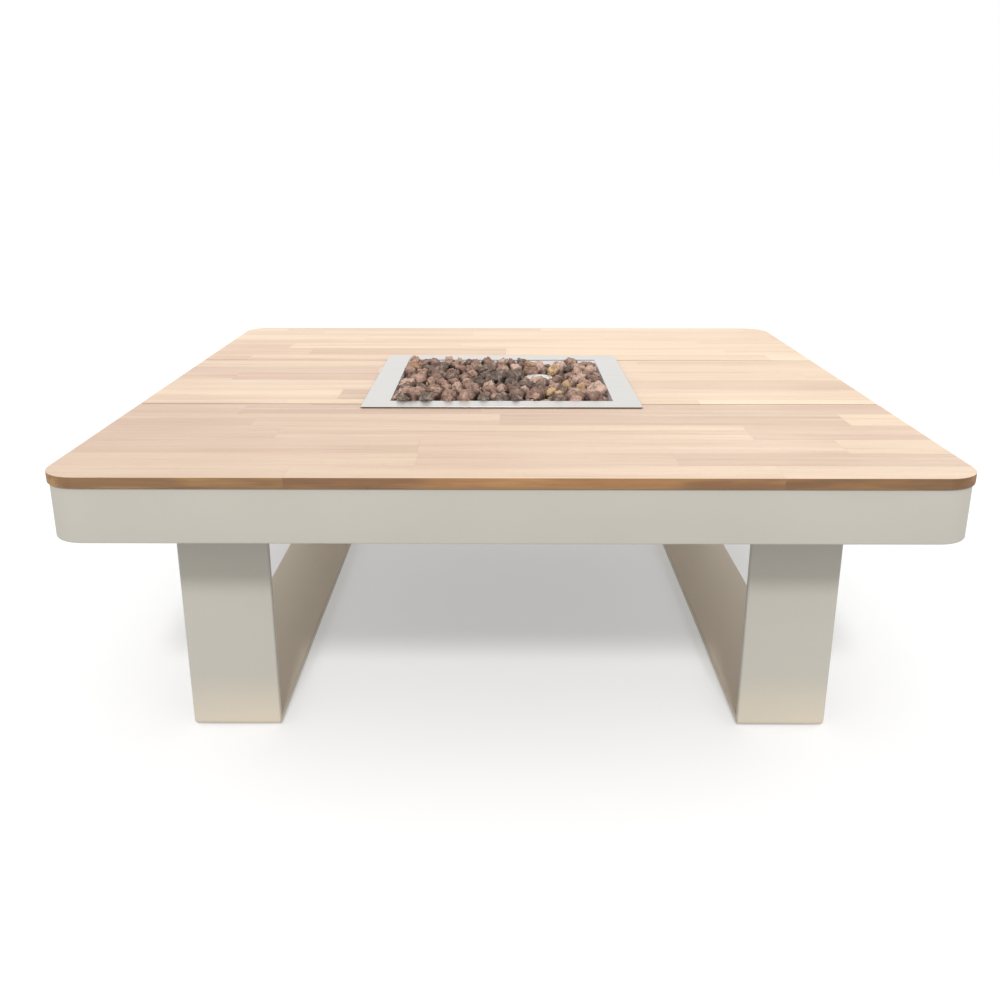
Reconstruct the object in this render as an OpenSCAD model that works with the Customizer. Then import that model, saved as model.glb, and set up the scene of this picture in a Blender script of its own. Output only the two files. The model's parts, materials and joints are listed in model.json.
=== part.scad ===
// Square gas fire pit table: slatted timber top, powder-coated frame on two loop legs,
// drop-in steel burner pan with a lift-out lava grate, gas train and side controls.
// Millimetres. X right, Y back, Z up. Origin on the floor under the middle of the top.

/* [Table top] */
// Side of the square top
top_w = 1200; // [1160:5:1300]
// Height of the boards' upper face above the floor
top_h = 434; // [420:2:470]
// Thickness of the boards
board_t = 15; // [13:1:18]
// Radius of the top's four corners in plan
top_corner_r = 50; // [45:1:80]
// Gap between neighbouring boards
board_gap = 4; // [1:0.5:5]
// Distance between the two long gaps, which the side boards lie between
seam_w = 382; // [378:2:420]

/* [Frame] */
// Height of the apron under the boards
apron_h = 75; // [70:1:80]
// Depth of the hollow apron section from outside to inside
apron_d = 40; // [36:1:44]
// How far the apron stands inside the top's edge
apron_inset = 3; // [1:0.5:6]
// Wall of the hollow frame sections
tube_wall = 2.5; // [2:0.5:3]
// Height of the rails that carry the boards
rail_h = 40; // [34:1:44]
// Width of the rails around the burner
rail_w = 30; // [26:1:34]

/* [Legs] */
// Width of the flat leg band
leg_w = 130; // [110:5:150]
// Thickness of the leg band
leg_t = 12; // [10:1:14]
// Length of each leg loop from front to back
leg_loop_l = 930; // [860:10:980]
// Distance of each leg's middle from the table's middle
leg_x = 408; // [395:1:420]
// Thickness of the glides under the runners
glide_t = 3; // [2:0.5:5]

/* [Burner] */
// Middle of the burner, left or right of the table's middle
burner_x = -12; // [-16:1:-8]
// Outer side of the square pan flange
flange_w = 450; // [442:2:480]
// Inner side of the square pan
pan_w = 364; // [360:1:366]
// Depth of the pan below its flange
pan_d = 65; // [62:1:68]
// Radius of the ring burner's centre line
ring_r = 128; // [124:1:134]

/* [Lava bed] */
// Distance between the grate's rods
grate_pitch = 25; // [22:1:28]
// Diameter of the grate's rods
grate_rod = 5; // [4:0.5:6]
// Distance between the lava stones' middles
stone_pitch = 29; // [28:0.5:29.5]
// Largest radius of a lava stone
stone_r = 13.3; // [11:0.1:13.4]

/* [Controls] */
// Diameter of the gas control knob
knob_dia = 38; // [32:1:44]
// Depth of the gas control knob
knob_depth = 11; // [9:0.5:12]
// Travel of the knob when it is pushed to light
knob_travel = 4; // [2:0.5:4]
// Travel of the igniter button
button_travel = 5; // [3:0.5:5]

/* [Hidden] */
$fn = 64;
eps = 0.01;

frame_z = top_h - board_t;
frame_bottom = frame_z - apron_h;
frame_out = top_w / 2 - apron_inset;
frame_in = frame_out - apron_d;
frame_corner_r = top_corner_r - apron_inset;
straight = frame_out - frame_corner_r;
seam_y = seam_w / 2;

opening = 196;
rail_out = opening + rail_w;
rail_z = frame_z - rail_h;
board_edge = opening + 4;

leg_y = leg_loop_l / 2;
leg_bolt_y = [-420, -140, 140, 420];
head_t = 6;

sheet = 2;
gasket_t = 1;
pan_top = top_h + gasket_t + sheet;
pan_floor = pan_top - pan_d + sheet;
pan_in = pan_w / 2;
housing_out = opening - 0.3;
housing_wall = 1.5;
housing_bottom = frame_bottom + 2;

ring_z = pan_floor + 13;
ring_tube = 8;
spigot_r = 7;
gas_z = frame_bottom + 13;
mixer_end = 108;
pipe_r = 4;
pipe_start = 112;

grate_z = 402;
grate_half = 176;
bar = 6;
hood_x = 57;
hood_y = 56;
hood_r = 25;
hood_top = 428;
collar_r = 28;
stone_count = 12;
stone_z = grate_z + grate_rod / 2 + 0.3 + stone_r;
stone_high = stone_r + 2;

control_z = frame_z - apron_h / 2;
button_y = 58;
plate_y = 29;
plate_w = 124;
plate_h = 52;
plate_t = 1.5;
valve_x = 515;
plug_r = 9;
stem_r = 3;
valve_face = 545;
cap_t = 3;
knob_gap = knob_travel + 1;
knob_back = frame_out + plate_t + knob_gap;
spring_end = 574;
button_r = 7;
button_front = 607;
igniter_r = 9;
electrode = [hood_x + 8, button_y];
probe = [hood_x - 8, 50];
lead_r = 2;

screw_points = concat(
  [for (x = [-320, -20, 290], s = [-1, 1]) [x, s * (frame_in - 10)]],
  [for (x = [-100, 80], s = [-1, 1]) [x, s * (rail_out + 10)]],
  [for (y = [-120, 120], s = [-1, 1]) [s * (frame_in - 10), y]],
  [for (y = [-120, 120], s = [-1, 1]) [burner_x + s * (rail_out + 10), y]]
);

// A route with each inner corner eased into a curve that starts r before it
function eased(p, r) = [
  p[0],
  for (i = [1:len(p) - 2])
    let (a = p[i] + r * unit(p[i - 1] - p[i]), c = p[i] + r * unit(p[i + 1] - p[i]))
      for (s = [0:0.25:1]) (1 - s) * (1 - s) * a + 2 * s * (1 - s) * p[i] + s * s * c,
  p[len(p) - 1]
];
function unit(v) = v / norm(v);
function along(p, i) = unit(p[min(i + 1, len(p) - 1)] - p[max(i - 1, 0)]);
function helix(r, turns, length, steps) = [
  for (i = [0:turns * steps])
    [length * i / (turns * steps), r * cos(360 * i / steps), r * sin(360 * i / steps)]
];

// A round tube of radius r swept along the points p
module swept(p, r, sides = 8) {
  rings = [
    for (i = [0:len(p) - 1])
      let (t = along(p, i), u = unit(cross(t, [1, 0.618, -0.8])), v = cross(t, u))
        for (k = [0:sides - 1])
          p[i] + r * (u * cos(360 * k / sides) + v * sin(360 * k / sides))
  ];
  last = (len(p) - 1) * sides;
  sides_of = [
    for (i = [0:len(p) - 2], k = [0:sides - 1])
      let (a = i * sides + k, b = i * sides + (k + 1) % sides)
        each [[a, a + sides, b], [b, a + sides, b + sides]]
  ];
  ends = [[for (k = [0:sides - 1]) k], [for (k = [sides - 1:-1:0]) last + k]];
  polyhedron(rings, concat(sides_of, ends));
}

module rod_x(r, x0, x1, y = 0, z = 0) {
  translate([x0, y, z]) rotate([0, 90, 0]) cylinder(h = x1 - x0, r = r);
}

module rod_z(r, z0, z1, x = 0, y = 0) {
  translate([x, y, z0]) cylinder(h = z1 - z0, r = r);
}

module block(x0, x1, y0, y1, z0, z1) {
  translate([x0, y0, z0]) cube([x1 - x0, y1 - y0, z1 - z0]);
}

// A rectangular hollow section along Y, or along X
module tube_y(x0, x1, y0, y1, z0, z1, w = tube_wall) {
  difference() {
    block(x0, x1, y0, y1, z0, z1);
    block(x0 + w, x1 - w, y0 - 1, y1 + 1, z0 + w, z1 - w);
  }
}

module tube_x(x0, x1, y0, y1, z0, z1, w = tube_wall) {
  difference() {
    block(x0, x1, y0, y1, z0, z1);
    block(x0 - 1, x1 + 1, y0 + w, y1 - w, z0 + w, z1 - w);
  }
}

module rounded_square(w, r) {
  hull() for (x = [-1, 1], y = [-1, 1]) translate([x * (w / 2 - r), y * (w / 2 - r)]) circle(r = r, $fn = 48);
}

// ---- frame ----

module apron_x(side) {
  color("#c8c2b4")
    tube_x(-straight, straight, min(side * frame_out, side * frame_in),
      max(side * frame_out, side * frame_in), frame_bottom, frame_z);
}

module apron_left() {
  color("#c8c2b4") tube_y(-frame_out, -frame_in, -straight, straight, frame_bottom, frame_z);
}

module apron_right() {
  color("#c8c2b4") difference() {
    tube_y(frame_in, frame_out, -straight, straight, frame_bottom, frame_z);
    rod_x(7, frame_in - 1, frame_out + 1, 0, control_z);
    rod_x(igniter_r + 0.1, frame_in - 1, frame_out + 1, button_y, control_z);
    plate_screw_holes(frame_out - 5, frame_out + 1);
    for (s = [-1, 1]) rod_x(1.6, frame_in - 1, frame_in + 4, s * 27, control_z);
  }
}

module apron_corner(sx, sy) {
  color("#c8c2b4") translate([sx * straight, sy * straight, 0])
    mirror([sx < 0 ? 1 : 0, 0, 0]) mirror([0, sy < 0 ? 1 : 0, 0])
      rotate_extrude(angle = 90) difference() {
        translate([frame_corner_r - apron_d, frame_bottom]) square([apron_d, apron_h]);
        translate([frame_corner_r - apron_d + tube_wall, frame_bottom + tube_wall])
          square([apron_d - 2 * tube_wall, apron_h - 2 * tube_wall]);
      }
}

module leg_rail(side) {
  color("#b5ae9f") difference() {
    tube_y(side * leg_x - 20, side * leg_x + 20, -frame_in, frame_in, frame_bottom, frame_z);
    for (y = leg_bolt_y) rod_z(4.2, frame_bottom - 1, frame_bottom + 4, side * leg_x, y);
    if (side > 0) {
      rod_x(6.5, leg_x - 21, leg_x + 21, 0, gas_z);
      rod_x(8, leg_x - 21, leg_x + 21, 54, gas_z);
    }
  }
}

module burner_rail_side(side) {
  x = burner_x + side * (opening + rail_w / 2);
  color("#b5ae9f") tube_y(x - rail_w / 2, x + rail_w / 2, -frame_in, frame_in, rail_z, frame_z);
}

module burner_rail_end(side) {
  y = side * (opening + rail_w / 2);
  color("#b5ae9f")
    tube_x(burner_x - opening, burner_x + opening, y - rail_w / 2, y + rail_w / 2, rail_z, frame_z);
}

module board_rails() {
  color("#b5ae9f") for (s = [-1, 1]) {
    tube_x(-leg_x + 20, burner_x - rail_out, s * seam_y - 20, s * seam_y + 20, rail_z, frame_z);
    tube_x(burner_x + rail_out, leg_x - 20, s * seam_y - 20, s * seam_y + 20, rail_z, frame_z);
  }
}

// ---- legs ----

module leg_post(sx, sy) {
  y0 = sy > 0 ? leg_y - leg_t : -leg_y;
  color("#c8c2b4") block(sx * leg_x - leg_w / 2, sx * leg_x + leg_w / 2, y0, y0 + leg_t,
    glide_t + leg_t, frame_bottom - head_t);
}

module leg_runner(side) {
  r = 6;
  color("#c8c2b4") difference() {
    block(side * leg_x - leg_w / 2, side * leg_x + leg_w / 2, -leg_y, leg_y, glide_t, glide_t + leg_t);
    for (s = [-1, 1]) difference() {
      translate([side * leg_x - leg_w, s > 0 ? leg_y - r : -leg_y - 1, glide_t - 1])
        cube([2 * leg_w, r + 1, r + 1]);
      rod_x(r, side * leg_x - leg_w, side * leg_x + leg_w, s * (leg_y - r), glide_t + r);
    }
  }
}

module leg_head(side) {
  color("#b5ae9f") difference() {
    block(side * leg_x - leg_w / 2, side * leg_x + leg_w / 2, -leg_y, leg_y,
      frame_bottom - head_t, frame_bottom);
    for (y = leg_bolt_y) rod_z(4.2, frame_bottom - head_t - 1, frame_bottom + 1, side * leg_x, y);
  }
}

module leg_bolts() {
  under = frame_bottom - head_t;
  color("silver") for (s = [-1, 1], y = leg_bolt_y) {
    rod_z(4, under - eps, frame_bottom + 12, s * leg_x, y);
    translate([s * leg_x, y, under - 5.5]) cylinder(h = 5.5, r = 7.5, $fn = 6);
  }
}

module leg_nuts() {
  floor_z = frame_bottom + tube_wall;
  color("silver") for (s = [-1, 1], y = leg_bolt_y) difference() {
    translate([s * leg_x, y, floor_z]) cylinder(h = 6.5, r = 7.5, $fn = 6);
    rod_z(4.05, floor_z - 1, floor_z + 8, s * leg_x, y);
  }
}

module foot_glides() {
  color("#3a3a38") for (sx = [-1, 1], sy = [-1, 1])
    block(sx * leg_x - 45, sx * leg_x + 45, sy * 430 - 20, sy * 430 + 20, 0, glide_t);
}

// ---- timber top ----

module top_outline() {
  translate([0, 0, frame_z]) linear_extrude(board_t) union() {
    square([top_w - 2 * top_corner_r, top_w], center = true);
    square([top_w, top_w - 2 * top_corner_r], center = true);
    for (x = [-1, 1], y = [-1, 1])
      translate([x * (top_w / 2 - top_corner_r), y * (top_w / 2 - top_corner_r)]) circle(r = top_corner_r);
  }
}

module pilot_holes() {
  for (p = screw_points) rod_z(2.05, frame_z - 1, frame_z + 10.5, p[0], p[1]);
}

module board_end(side) {
  y = seam_y + board_gap / 2;
  color("#e6cda6") difference() {
    intersection() {
      top_outline();
      block(-top_w, top_w, side > 0 ? y : -top_w, side > 0 ? top_w : -y, frame_z - 1, top_h + 1);
    }
    pilot_holes();
  }
}

module board_side(side) {
  inner = burner_x + side * board_edge;
  y = seam_y - board_gap / 2;
  color("#e6cda6") difference() {
    block(side > 0 ? inner : -top_w / 2, side > 0 ? top_w / 2 : inner, -y, y, frame_z, top_h);
    pilot_holes();
  }
}

module board_clips() {
  color("#b5ae9f") for (p = screw_points) difference() {
    translate([p[0], p[1], frame_z - 1.25]) cube([20, 20, 2.5], center = true);
    rod_z(2.3, frame_z - 4, frame_z + 1, p[0], p[1]);
  }
}

module board_screws() {
  color("silver") for (p = screw_points) {
    rod_z(2, frame_z - 2.5 - eps, frame_z + 10, p[0], p[1]);
    rod_z(4.2, frame_z - 5, frame_z - 2.5, p[0], p[1]);
  }
}

// ---- burner pan and housing ----

module flange_gasket() {
  color("#2b2b2b") translate([burner_x, 0, top_h]) linear_extrude(gasket_t) difference() {
    square(flange_w - 6, center = true);
    square(2 * board_edge + 10, center = true);
  }
}

module burner_pan() {
  color("gainsboro") difference() {
    union() {
      translate([burner_x, 0, pan_top - sheet / 2]) cube([flange_w, flange_w, sheet], center = true);
      translate([burner_x, 0, (pan_top + pan_floor - sheet) / 2])
        cube([pan_w + 2 * sheet, pan_w + 2 * sheet, pan_d], center = true);
    }
    translate([burner_x, 0, pan_floor + 50]) cube([pan_w, pan_w, 100], center = true);
    rod_z(spigot_r + 0.1, pan_floor - 5, pan_floor + 1, burner_x, 0);
    rod_z(3.6, pan_floor - 5, pan_floor + 1, electrode[0], electrode[1]);
    rod_z(2.6, pan_floor - 5, pan_floor + 1, probe[0], probe[1]);
    for (x = [-1, 1], y = [-1, 1]) rod_z(4, pan_floor - 5, pan_floor + 1, burner_x + x * 60, y * 150);
  }
}

module burner_housing() {
  w = housing_wall;
  color("#9a9a98") difference() {
    block(burner_x - housing_out, burner_x + housing_out, -housing_out, housing_out, housing_bottom, frame_z - 3);
    block(burner_x - housing_out + w, burner_x + housing_out - w, -housing_out + w, housing_out - w,
      housing_bottom + w, frame_z);
    rod_x(6.5, 100, 200, 0, gas_z);
    rod_x(8, 100, 200, 54, gas_z);
    for (x = [-140, -70, 70, 140], s = [-1, 1])
      block(burner_x + x - 4, burner_x + x + 4, min(s * 60, s * 160), max(s * 60, s * 160),
        housing_bottom - 1, housing_bottom + 3);
    for (p = housing_screw_points()) translate(p[0]) rotate(p[1]) cylinder(h = 10, r = 2.1, center = true);
  }
}

// Two screws on each wall: where it stands and the turn that points +Z into the rail
function housing_screw_points() = [
  for (s = [-1, 1], t = [-120, 120]) each [
    [[burner_x + s * opening, t, control_z + 18], [0, s * 90, 0]],
    [[burner_x + t, s * opening, control_z + 18], [-s * 90, 0, 0]]
  ]
];

module housing_screws() {
  color("silver") for (p = housing_screw_points()) translate(p[0]) rotate(p[1]) {
    translate([0, 0, -housing_wall - 2.3]) cylinder(h = 2, r = 3.6);
    translate([0, 0, -housing_wall - 0.3 - eps]) cylinder(h = housing_wall + 0.3 + eps - 0.05, r = 2);
  }
}

// ---- gas burner ----

module ring_burner() {
  bore = ring_tube - 1.5;
  color("#bdbdb8") translate([burner_x, 0, 0]) difference() {
    union() {
      translate([0, 0, ring_z]) rotate_extrude($fn = 96) translate([ring_r, 0]) circle(r = ring_tube);
      rod_x(6, -ring_r, ring_r, 0, ring_z);
      rod_z(spigot_r, gas_z + 2, ring_z);
    }
    rod_z(spigot_r - 1.5, gas_z, ring_z - 3);
    for (i = [0:23]) rotate([0, 0, 7.5 + 15 * i]) rod_z(1, ring_z + bore - 2, ring_z + ring_tube + 1, ring_r, 0);
  }
}

module burner_locknut() {
  color("#c9a44c") difference() {
    translate([burner_x, 0, pan_floor - sheet - 4]) cylinder(h = 4, r = 12, $fn = 6);
    rod_z(spigot_r + 0.05, pan_floor - 10, pan_floor, burner_x, 0);
  }
}

module mixer_tube() {
  top_z = pan_floor - sheet - 4.2;
  color("#8d8d8a") difference() {
    union() {
      rod_z(9.5, gas_z - 8.5, top_z, burner_x, 0);
      rod_x(8, burner_x, mixer_end, 0, gas_z);
    }
    rod_z(spigot_r + 0.05, gas_z + 2, top_z + 1, burner_x, 0);
    rod_x(6, burner_x, mixer_end + 1, 0, gas_z);
    block(70, 90, -3, 3, gas_z - 10, gas_z + 10);
  }
}

module injector() {
  color("#c9a44c") difference() {
    union() {
      rod_x(5.95, mixer_end - 10, mixer_end + eps, 0, gas_z);
      translate([mixer_end, 0, gas_z]) rotate([0, 90, 0]) cylinder(h = 8, r = 9, $fn = 6);
    }
    rod_x(0.8, mixer_end - 11, mixer_end + 9, 0, gas_z);
    rod_x(pipe_r + 0.05, mixer_end + 3, mixer_end + 9, 0, gas_z);
  }
}

module gas_pipe() {
  color("#c58a5a") difference() {
    rod_x(pipe_r, pipe_start, valve_x - 4, 0, gas_z);
    rod_x(pipe_r - 1, pipe_start - 1, valve_x, 0, gas_z);
  }
}

module pipe_nuts() {
  color("#c9a44c") for (x = [mixer_end + 8, valve_x - 20]) difference() {
    translate([x, 0, gas_z]) rotate([0, 90, 0]) cylinder(h = 8, r = 9, $fn = 6);
    rod_x(pipe_r + 0.05, x - 1, x + 9, 0, gas_z);
  }
}

module grommets() {
  walls = [burner_x + housing_out - housing_wall / 2, leg_x - 20 + tube_wall / 2, leg_x + 20 - tube_wall / 2];
  color("#222222") for (x = walls) {
    difference() {
      rod_x(6.45, x - 2, x + 2, 0, gas_z);
      rod_x(pipe_r + 0.05, x - 3, x + 3, 0, gas_z);
    }
    difference() {
      rod_x(7.95, x - 2, x + 2, 54, gas_z);
      rod_x(lead_r + 0.1, x - 3, x + 3, button_y, gas_z);
      rod_x(1.5, x - 3, x + 3, probe[1], gas_z);
    }
  }
}

// ---- pilot and ignition ----

module pilot_hood() {
  color("gainsboro") translate([hood_x, hood_y, 0]) difference() {
    rod_z(hood_r, pan_floor, hood_top);
    rod_z(hood_r - 1, pan_floor - 1, hood_top - 1);
    for (n = [1:3], i = [0:6 * n - 1]) rotate([0, 0, 60 * i / n]) rod_z(1.6, hood_top - 3, hood_top + 1, 6.8 * n, 0);
    rod_z(1.6, hood_top - 3, hood_top + 1);
    for (i = [0:3]) rotate([0, 0, 45 * i]) block(-30, 30, -2.5, 2.5, pan_floor + 8, pan_floor + 22);
  }
}

module igniter_electrode() {
  color("white") {
    rod_z(3.5, pan_floor - 6, pan_floor + 26, electrode[0], electrode[1]);
    rod_z(1, pan_floor + 25, pan_floor + 42, electrode[0], electrode[1]);
  }
}

module igniter_lead() {
  color("#8c2f22") swept(eased([
    [electrode[0], button_y, pan_floor - 6], [electrode[0], button_y, gas_z],
    [500, button_y, gas_z], [500, button_y, control_z], [537, button_y, control_z]
  ], 8), lead_r);
}

module thermocouple() {
  color("#c58a5a") {
    rod_z(2.5, pan_floor - 6, pan_floor + 34, probe[0], probe[1]);
    swept(eased([
      [probe[0], probe[1], pan_floor - 5], [probe[0], probe[1], gas_z],
      [484, probe[1], gas_z], [484, 8, gas_z], [484, 8, gas_z + 18], [valve_x, 8, gas_z + 18]
    ], 8), 1.2);
  }
}

// ---- valve and controls ----

module gas_valve() {
  color("#c9a44c") difference() {
    union() {
      block(valve_x, valve_face, -14, 14, gas_z - 9, control_z + 14);
      rod_x(8, valve_x - 12, valve_x + 1, 0, gas_z);
    }
    rod_x(plug_r, valve_x + 5, valve_face + 1, 0, control_z);
    rod_x(pipe_r + 0.05, valve_x - 13, valve_x - 3, 0, gas_z);
    rod_x(3, valve_x - 4, valve_x + 15, 0, gas_z);
    rod_z(5.05, gas_z - 10, gas_z - 2, valve_x + 15, 0);
    rod_z(3, gas_z - 3, control_z, valve_x + 15, 0);
  }
}

module valve_cap() {
  color("#c9a44c") difference() {
    rod_x(13, valve_face, valve_face + cap_t, 0, control_z);
    rod_x(stem_r + 0.3, valve_face - 1, valve_face + cap_t + 1, 0, control_z);
  }
}

module valve_plug() {
  color("#b08d3f") difference() {
    rod_x(plug_r - 0.05, valve_x + 5.3, valve_face - 0.3, 0, control_z);
    rod_x(stem_r + 0.3, valve_x + 11, valve_face, 0, control_z);
    rod_z(3, control_z - 12, control_z - 4, valve_x + 15, 0);
  }
}

module gas_inlet() {
  x = valve_x + 15;
  seat = gas_z - 9;
  color("#c9a44c") difference() {
    union() {
      rod_z(5, seat - eps, seat + 6, x, 0);
      translate([x, 0, seat - 8]) cylinder(h = 8, r = 9, $fn = 6);
      rod_z(6.58, seat - 22, seat - 8 + eps, x, 0);
    }
    rod_z(3, seat - 23, seat + 7, x, 0);
  }
}

module valve_bracket() {
  x = valve_face + cap_t;
  color("#9a9a98") difference() {
    union() {
      block(x, x + 2, -32, 32, control_z - 20, control_z + 20);
      for (s = [-1, 1]) block(x + 2, frame_in, s * 27 - 5, s * 27 + 5, control_z - 20, control_z + 20);
    }
    rod_x(7, x - 1, x + 4, 0, control_z);
    for (s = [-1, 1]) rod_x(1.6, x - 1, frame_in + 1, s * 27, control_z);
  }
}

module plate_screw_holes(x0, x1, r = 1.6) {
  for (y = [-1, 1], z = [-1, 1])
    rod_x(r, x0, x1, plate_y + y * (plate_w / 2 - 6), control_z + z * (plate_h / 2 - 6));
}

module control_plate() {
  color("gainsboro") difference() {
    translate([frame_out, plate_y, control_z]) rotate([90, 0, 90])
      linear_extrude(plate_t) union() {
        square([plate_w - 12, plate_h], center = true);
        square([plate_w, plate_h - 12], center = true);
        for (x = [-1, 1], y = [-1, 1])
          translate([x * (plate_w / 2 - 6), y * (plate_h / 2 - 6)]) circle(r = 6);
      }
    rod_x(stem_r + 0.6, frame_out - 1, frame_out + 3, 0, control_z);
    rod_x(igniter_r + 0.1, frame_out - 1, frame_out + 3, button_y, control_z);
    plate_screw_holes(frame_out - 1, frame_out + 3);
  }
}

module control_screws() {
  front = frame_out + plate_t;
  color("silver") {
    plate_screw_holes(frame_out - 4, front + eps, 1.5);
    plate_screw_holes(front, front + 1.5, 2.8);
    for (s = [-1, 1]) {
      rod_x(1.5, valve_face + cap_t - eps, frame_in + 3, s * 27, control_z);
      rod_x(2.8, valve_face + cap_t - 2, valve_face + cap_t, s * 27, control_z);
    }
  }
}

module control_knob() {
  front = knob_back + knob_depth;
  r = knob_dia / 2;
  color("#2e2e2e") difference() {
    union() {
      translate([knob_back, 0, control_z]) rotate([0, 90, 0]) rotate_extrude()
        polygon([[0, 0], [r, 0], [r - 1, knob_depth - 2], [r - 3, knob_depth], [0, knob_depth]]);
      rod_x(stem_r, valve_x + 16, knob_back + 1, 0, control_z);
      rod_x(5.5, spring_end, spring_end + 3, 0, control_z);
    }
    block(front - 1, front + 1, -1, 1, control_z + 6, control_z + r + 1);
  }
}

module knob_spring() {
  length = spring_end - valve_face - cap_t - 2;
  color("silver") translate([valve_face + cap_t + 1, 0, control_z]) swept(helix(4.5, 5, length, 10), 0.6, 6);
}

module igniter_body() {
  front = frame_out + plate_t + 2;
  color("#222222") difference() {
    union() {
      rod_x(igniter_r, 545, front, button_y, control_z);
      rod_x(igniter_r + 3, frame_out + plate_t, front, button_y, control_z);
      rod_x(3, 537, 545 + eps, button_y, control_z);
      translate([frame_in - 6, button_y, control_z]) rotate([0, 90, 0]) cylinder(h = 6, r = 12, $fn = 6);
    }
    rod_x(button_r + 0.3, 580, front + 1, button_y, control_z);
  }
}

module igniter_button() {
  length = button_front - 590;
  color("silver") translate([590, button_y, control_z]) rotate([0, 90, 0]) rotate_extrude()
    polygon([[0, 0], [button_r, 0], [button_r, length - 1.5], [button_r - 1.5, length], [0, length]]);
}

// ---- lava bed ----

module lava_grate() {
  z = grate_z;
  color("#6d6a66") union() {
    difference() {
      union() {
        for (i = [-6:6]) translate([burner_x + i * grate_pitch, 0, z]) rotate([90, 0, 0])
          cylinder(h = 2 * grate_half - 2, r = grate_rod / 2, center = true);
        for (y = [-1, 1]) block(burner_x - grate_half, burner_x + grate_half,
          y * (grate_half - 3) - 3, y * (grate_half - 3) + 3, z - bar / 2, z + bar / 2);
        for (x = [-1, 1]) block(burner_x + x * (grate_half - 3) - 3, burner_x + x * (grate_half - 3) + 3,
          -grate_half, grate_half, z - bar / 2, z + bar / 2);
      }
      rod_z(collar_r + 1, z - 5, z + 5, hood_x, hood_y);
    }
    difference() {
      rod_z(collar_r + 3, z - 3, z + 3, hood_x, hood_y);
      rod_z(collar_r, z - 4, z + 4, hood_x, hood_y);
    }
    for (x = [-1, 1], y = [-1, 1])
      rod_z(4, pan_floor, z, burner_x + x * (grate_half - 4), y * (grate_half - 4));
  }
}

// A stone is a ball of two five-point rings and two poles, each point drawn in a little
stone_faces = concat(
  [for (i = [0:4]) [0, 1 + (i + 1) % 5, 1 + i]],
  [for (i = [0:4]) [1 + i, 1 + (i + 1) % 5, 6 + i]],
  [for (i = [0:4]) [1 + (i + 1) % 5, 6 + (i + 1) % 5, 6 + i]],
  [for (i = [0:4]) [11, 6 + i, 6 + (i + 1) % 5]]
);

module stone(at, r, seed) {
  k = rands(0.84, 1, 12, seed);
  turn = rands(0, 72, 1, seed + 1)[0];
  function ring(n, lift, phase) = [
    for (i = [0:4])
      let (a = turn + phase + 72 * i, q = r * k[n + i])
        at + [q * cos(a) * cos(lift), q * sin(a) * cos(lift), q * sin(lift)]
  ];
  polyhedron(
    concat([at + [0, 0, r * k[0]]], ring(1, 26.565, 0), ring(6, -26.565, 36), [at - [0, 0, r * k[11]]]),
    stone_faces
  );
}

function far_from_hood(p) = norm([p[0] - hood_x, p[1] - hood_y]) > hood_r + stone_r + 1;

// One full layer on the rods, a thin second layer in its hollows, and two stones at the front rim
module lava_stones() {
  mid = (stone_count - 1) / 2;
  color("#8a7468") {
    for (i = [0:stone_count - 1], j = [0:stone_count - 1]) {
      seed = 100 * i + j + 7;
      shift = rands(-1, 1, 2, seed + 5000);
      p = [burner_x + (i - mid) * stone_pitch + shift[0], (j - mid) * stone_pitch + shift[1], stone_z];
      if (far_from_hood(p)) stone(p, stone_r - 0.8, seed);
    }
    for (i = [0:4], j = [0:4]) {
      p = [burner_x + (2 * i - 4) * stone_pitch, (2 * j - 4) * stone_pitch, stone_z + stone_high];
      if (far_from_hood(p)) stone(p, stone_r - 1.4, 9000 + 10 * i + j);
    }
    for (i = [0, 1])
      stone([burner_x + (i - mid) * stone_pitch, -mid * stone_pitch - 9.5, stone_z + stone_r + 9], 11.5, 9900 + i);
  }
}

apron_x(-1);  // apron_front
apron_x(1);  // apron_back
apron_left();
apron_right();
apron_corner(-1, -1);  // apron_corner_front_left
apron_corner(1, -1);  // apron_corner_front_right
apron_corner(-1, 1);  // apron_corner_back_left
apron_corner(1, 1);  // apron_corner_back_right
leg_rail(-1);  // leg_rail_left
leg_rail(1);  // leg_rail_right
burner_rail_side(-1);  // burner_rail_left
burner_rail_side(1);  // burner_rail_right
burner_rail_end(-1);  // burner_rail_front
burner_rail_end(1);  // burner_rail_back
board_rails();
leg_post(-1, -1);  // leg_post_front_left
leg_post(1, -1);  // leg_post_front_right
leg_post(-1, 1);  // leg_post_back_left
leg_post(1, 1);  // leg_post_back_right
leg_runner(-1);  // leg_runner_left
leg_runner(1);  // leg_runner_right
leg_head(-1);  // leg_head_left
leg_head(1);  // leg_head_right
leg_bolts();
leg_nuts();
foot_glides();
board_end(-1);  // board_front
board_end(1);  // board_back
board_side(-1);  // board_left
board_side(1);  // board_right
board_clips();
board_screws();
flange_gasket();
burner_pan();
burner_housing();
housing_screws();
ring_burner();
burner_locknut();
mixer_tube();
injector();
gas_pipe();
pipe_nuts();
grommets();
pilot_hood();
igniter_electrode();
igniter_lead();
thermocouple();
gas_valve();
valve_cap();
valve_plug();
gas_inlet();
valve_bracket();
control_plate();
control_screws();
control_knob();
knob_spring();
igniter_body();
igniter_button();
lava_grate();
lava_stones();
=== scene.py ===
"""The looks of a square gas fire table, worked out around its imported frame.

Lengths are in metres and every place comes from the frame's own nodes. Each class is
one sub-assembly of the table: it holds its sizes, builds its surfaces from formulas
over whole arrays, and dresses them in the finishes defined before it.
"""

import json
import logging
import math
from dataclasses import dataclass, field
from enum import Enum
from functools import partialmethod

import bmesh
import bpy
import numpy as np
from mathutils import Matrix, Vector

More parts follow.
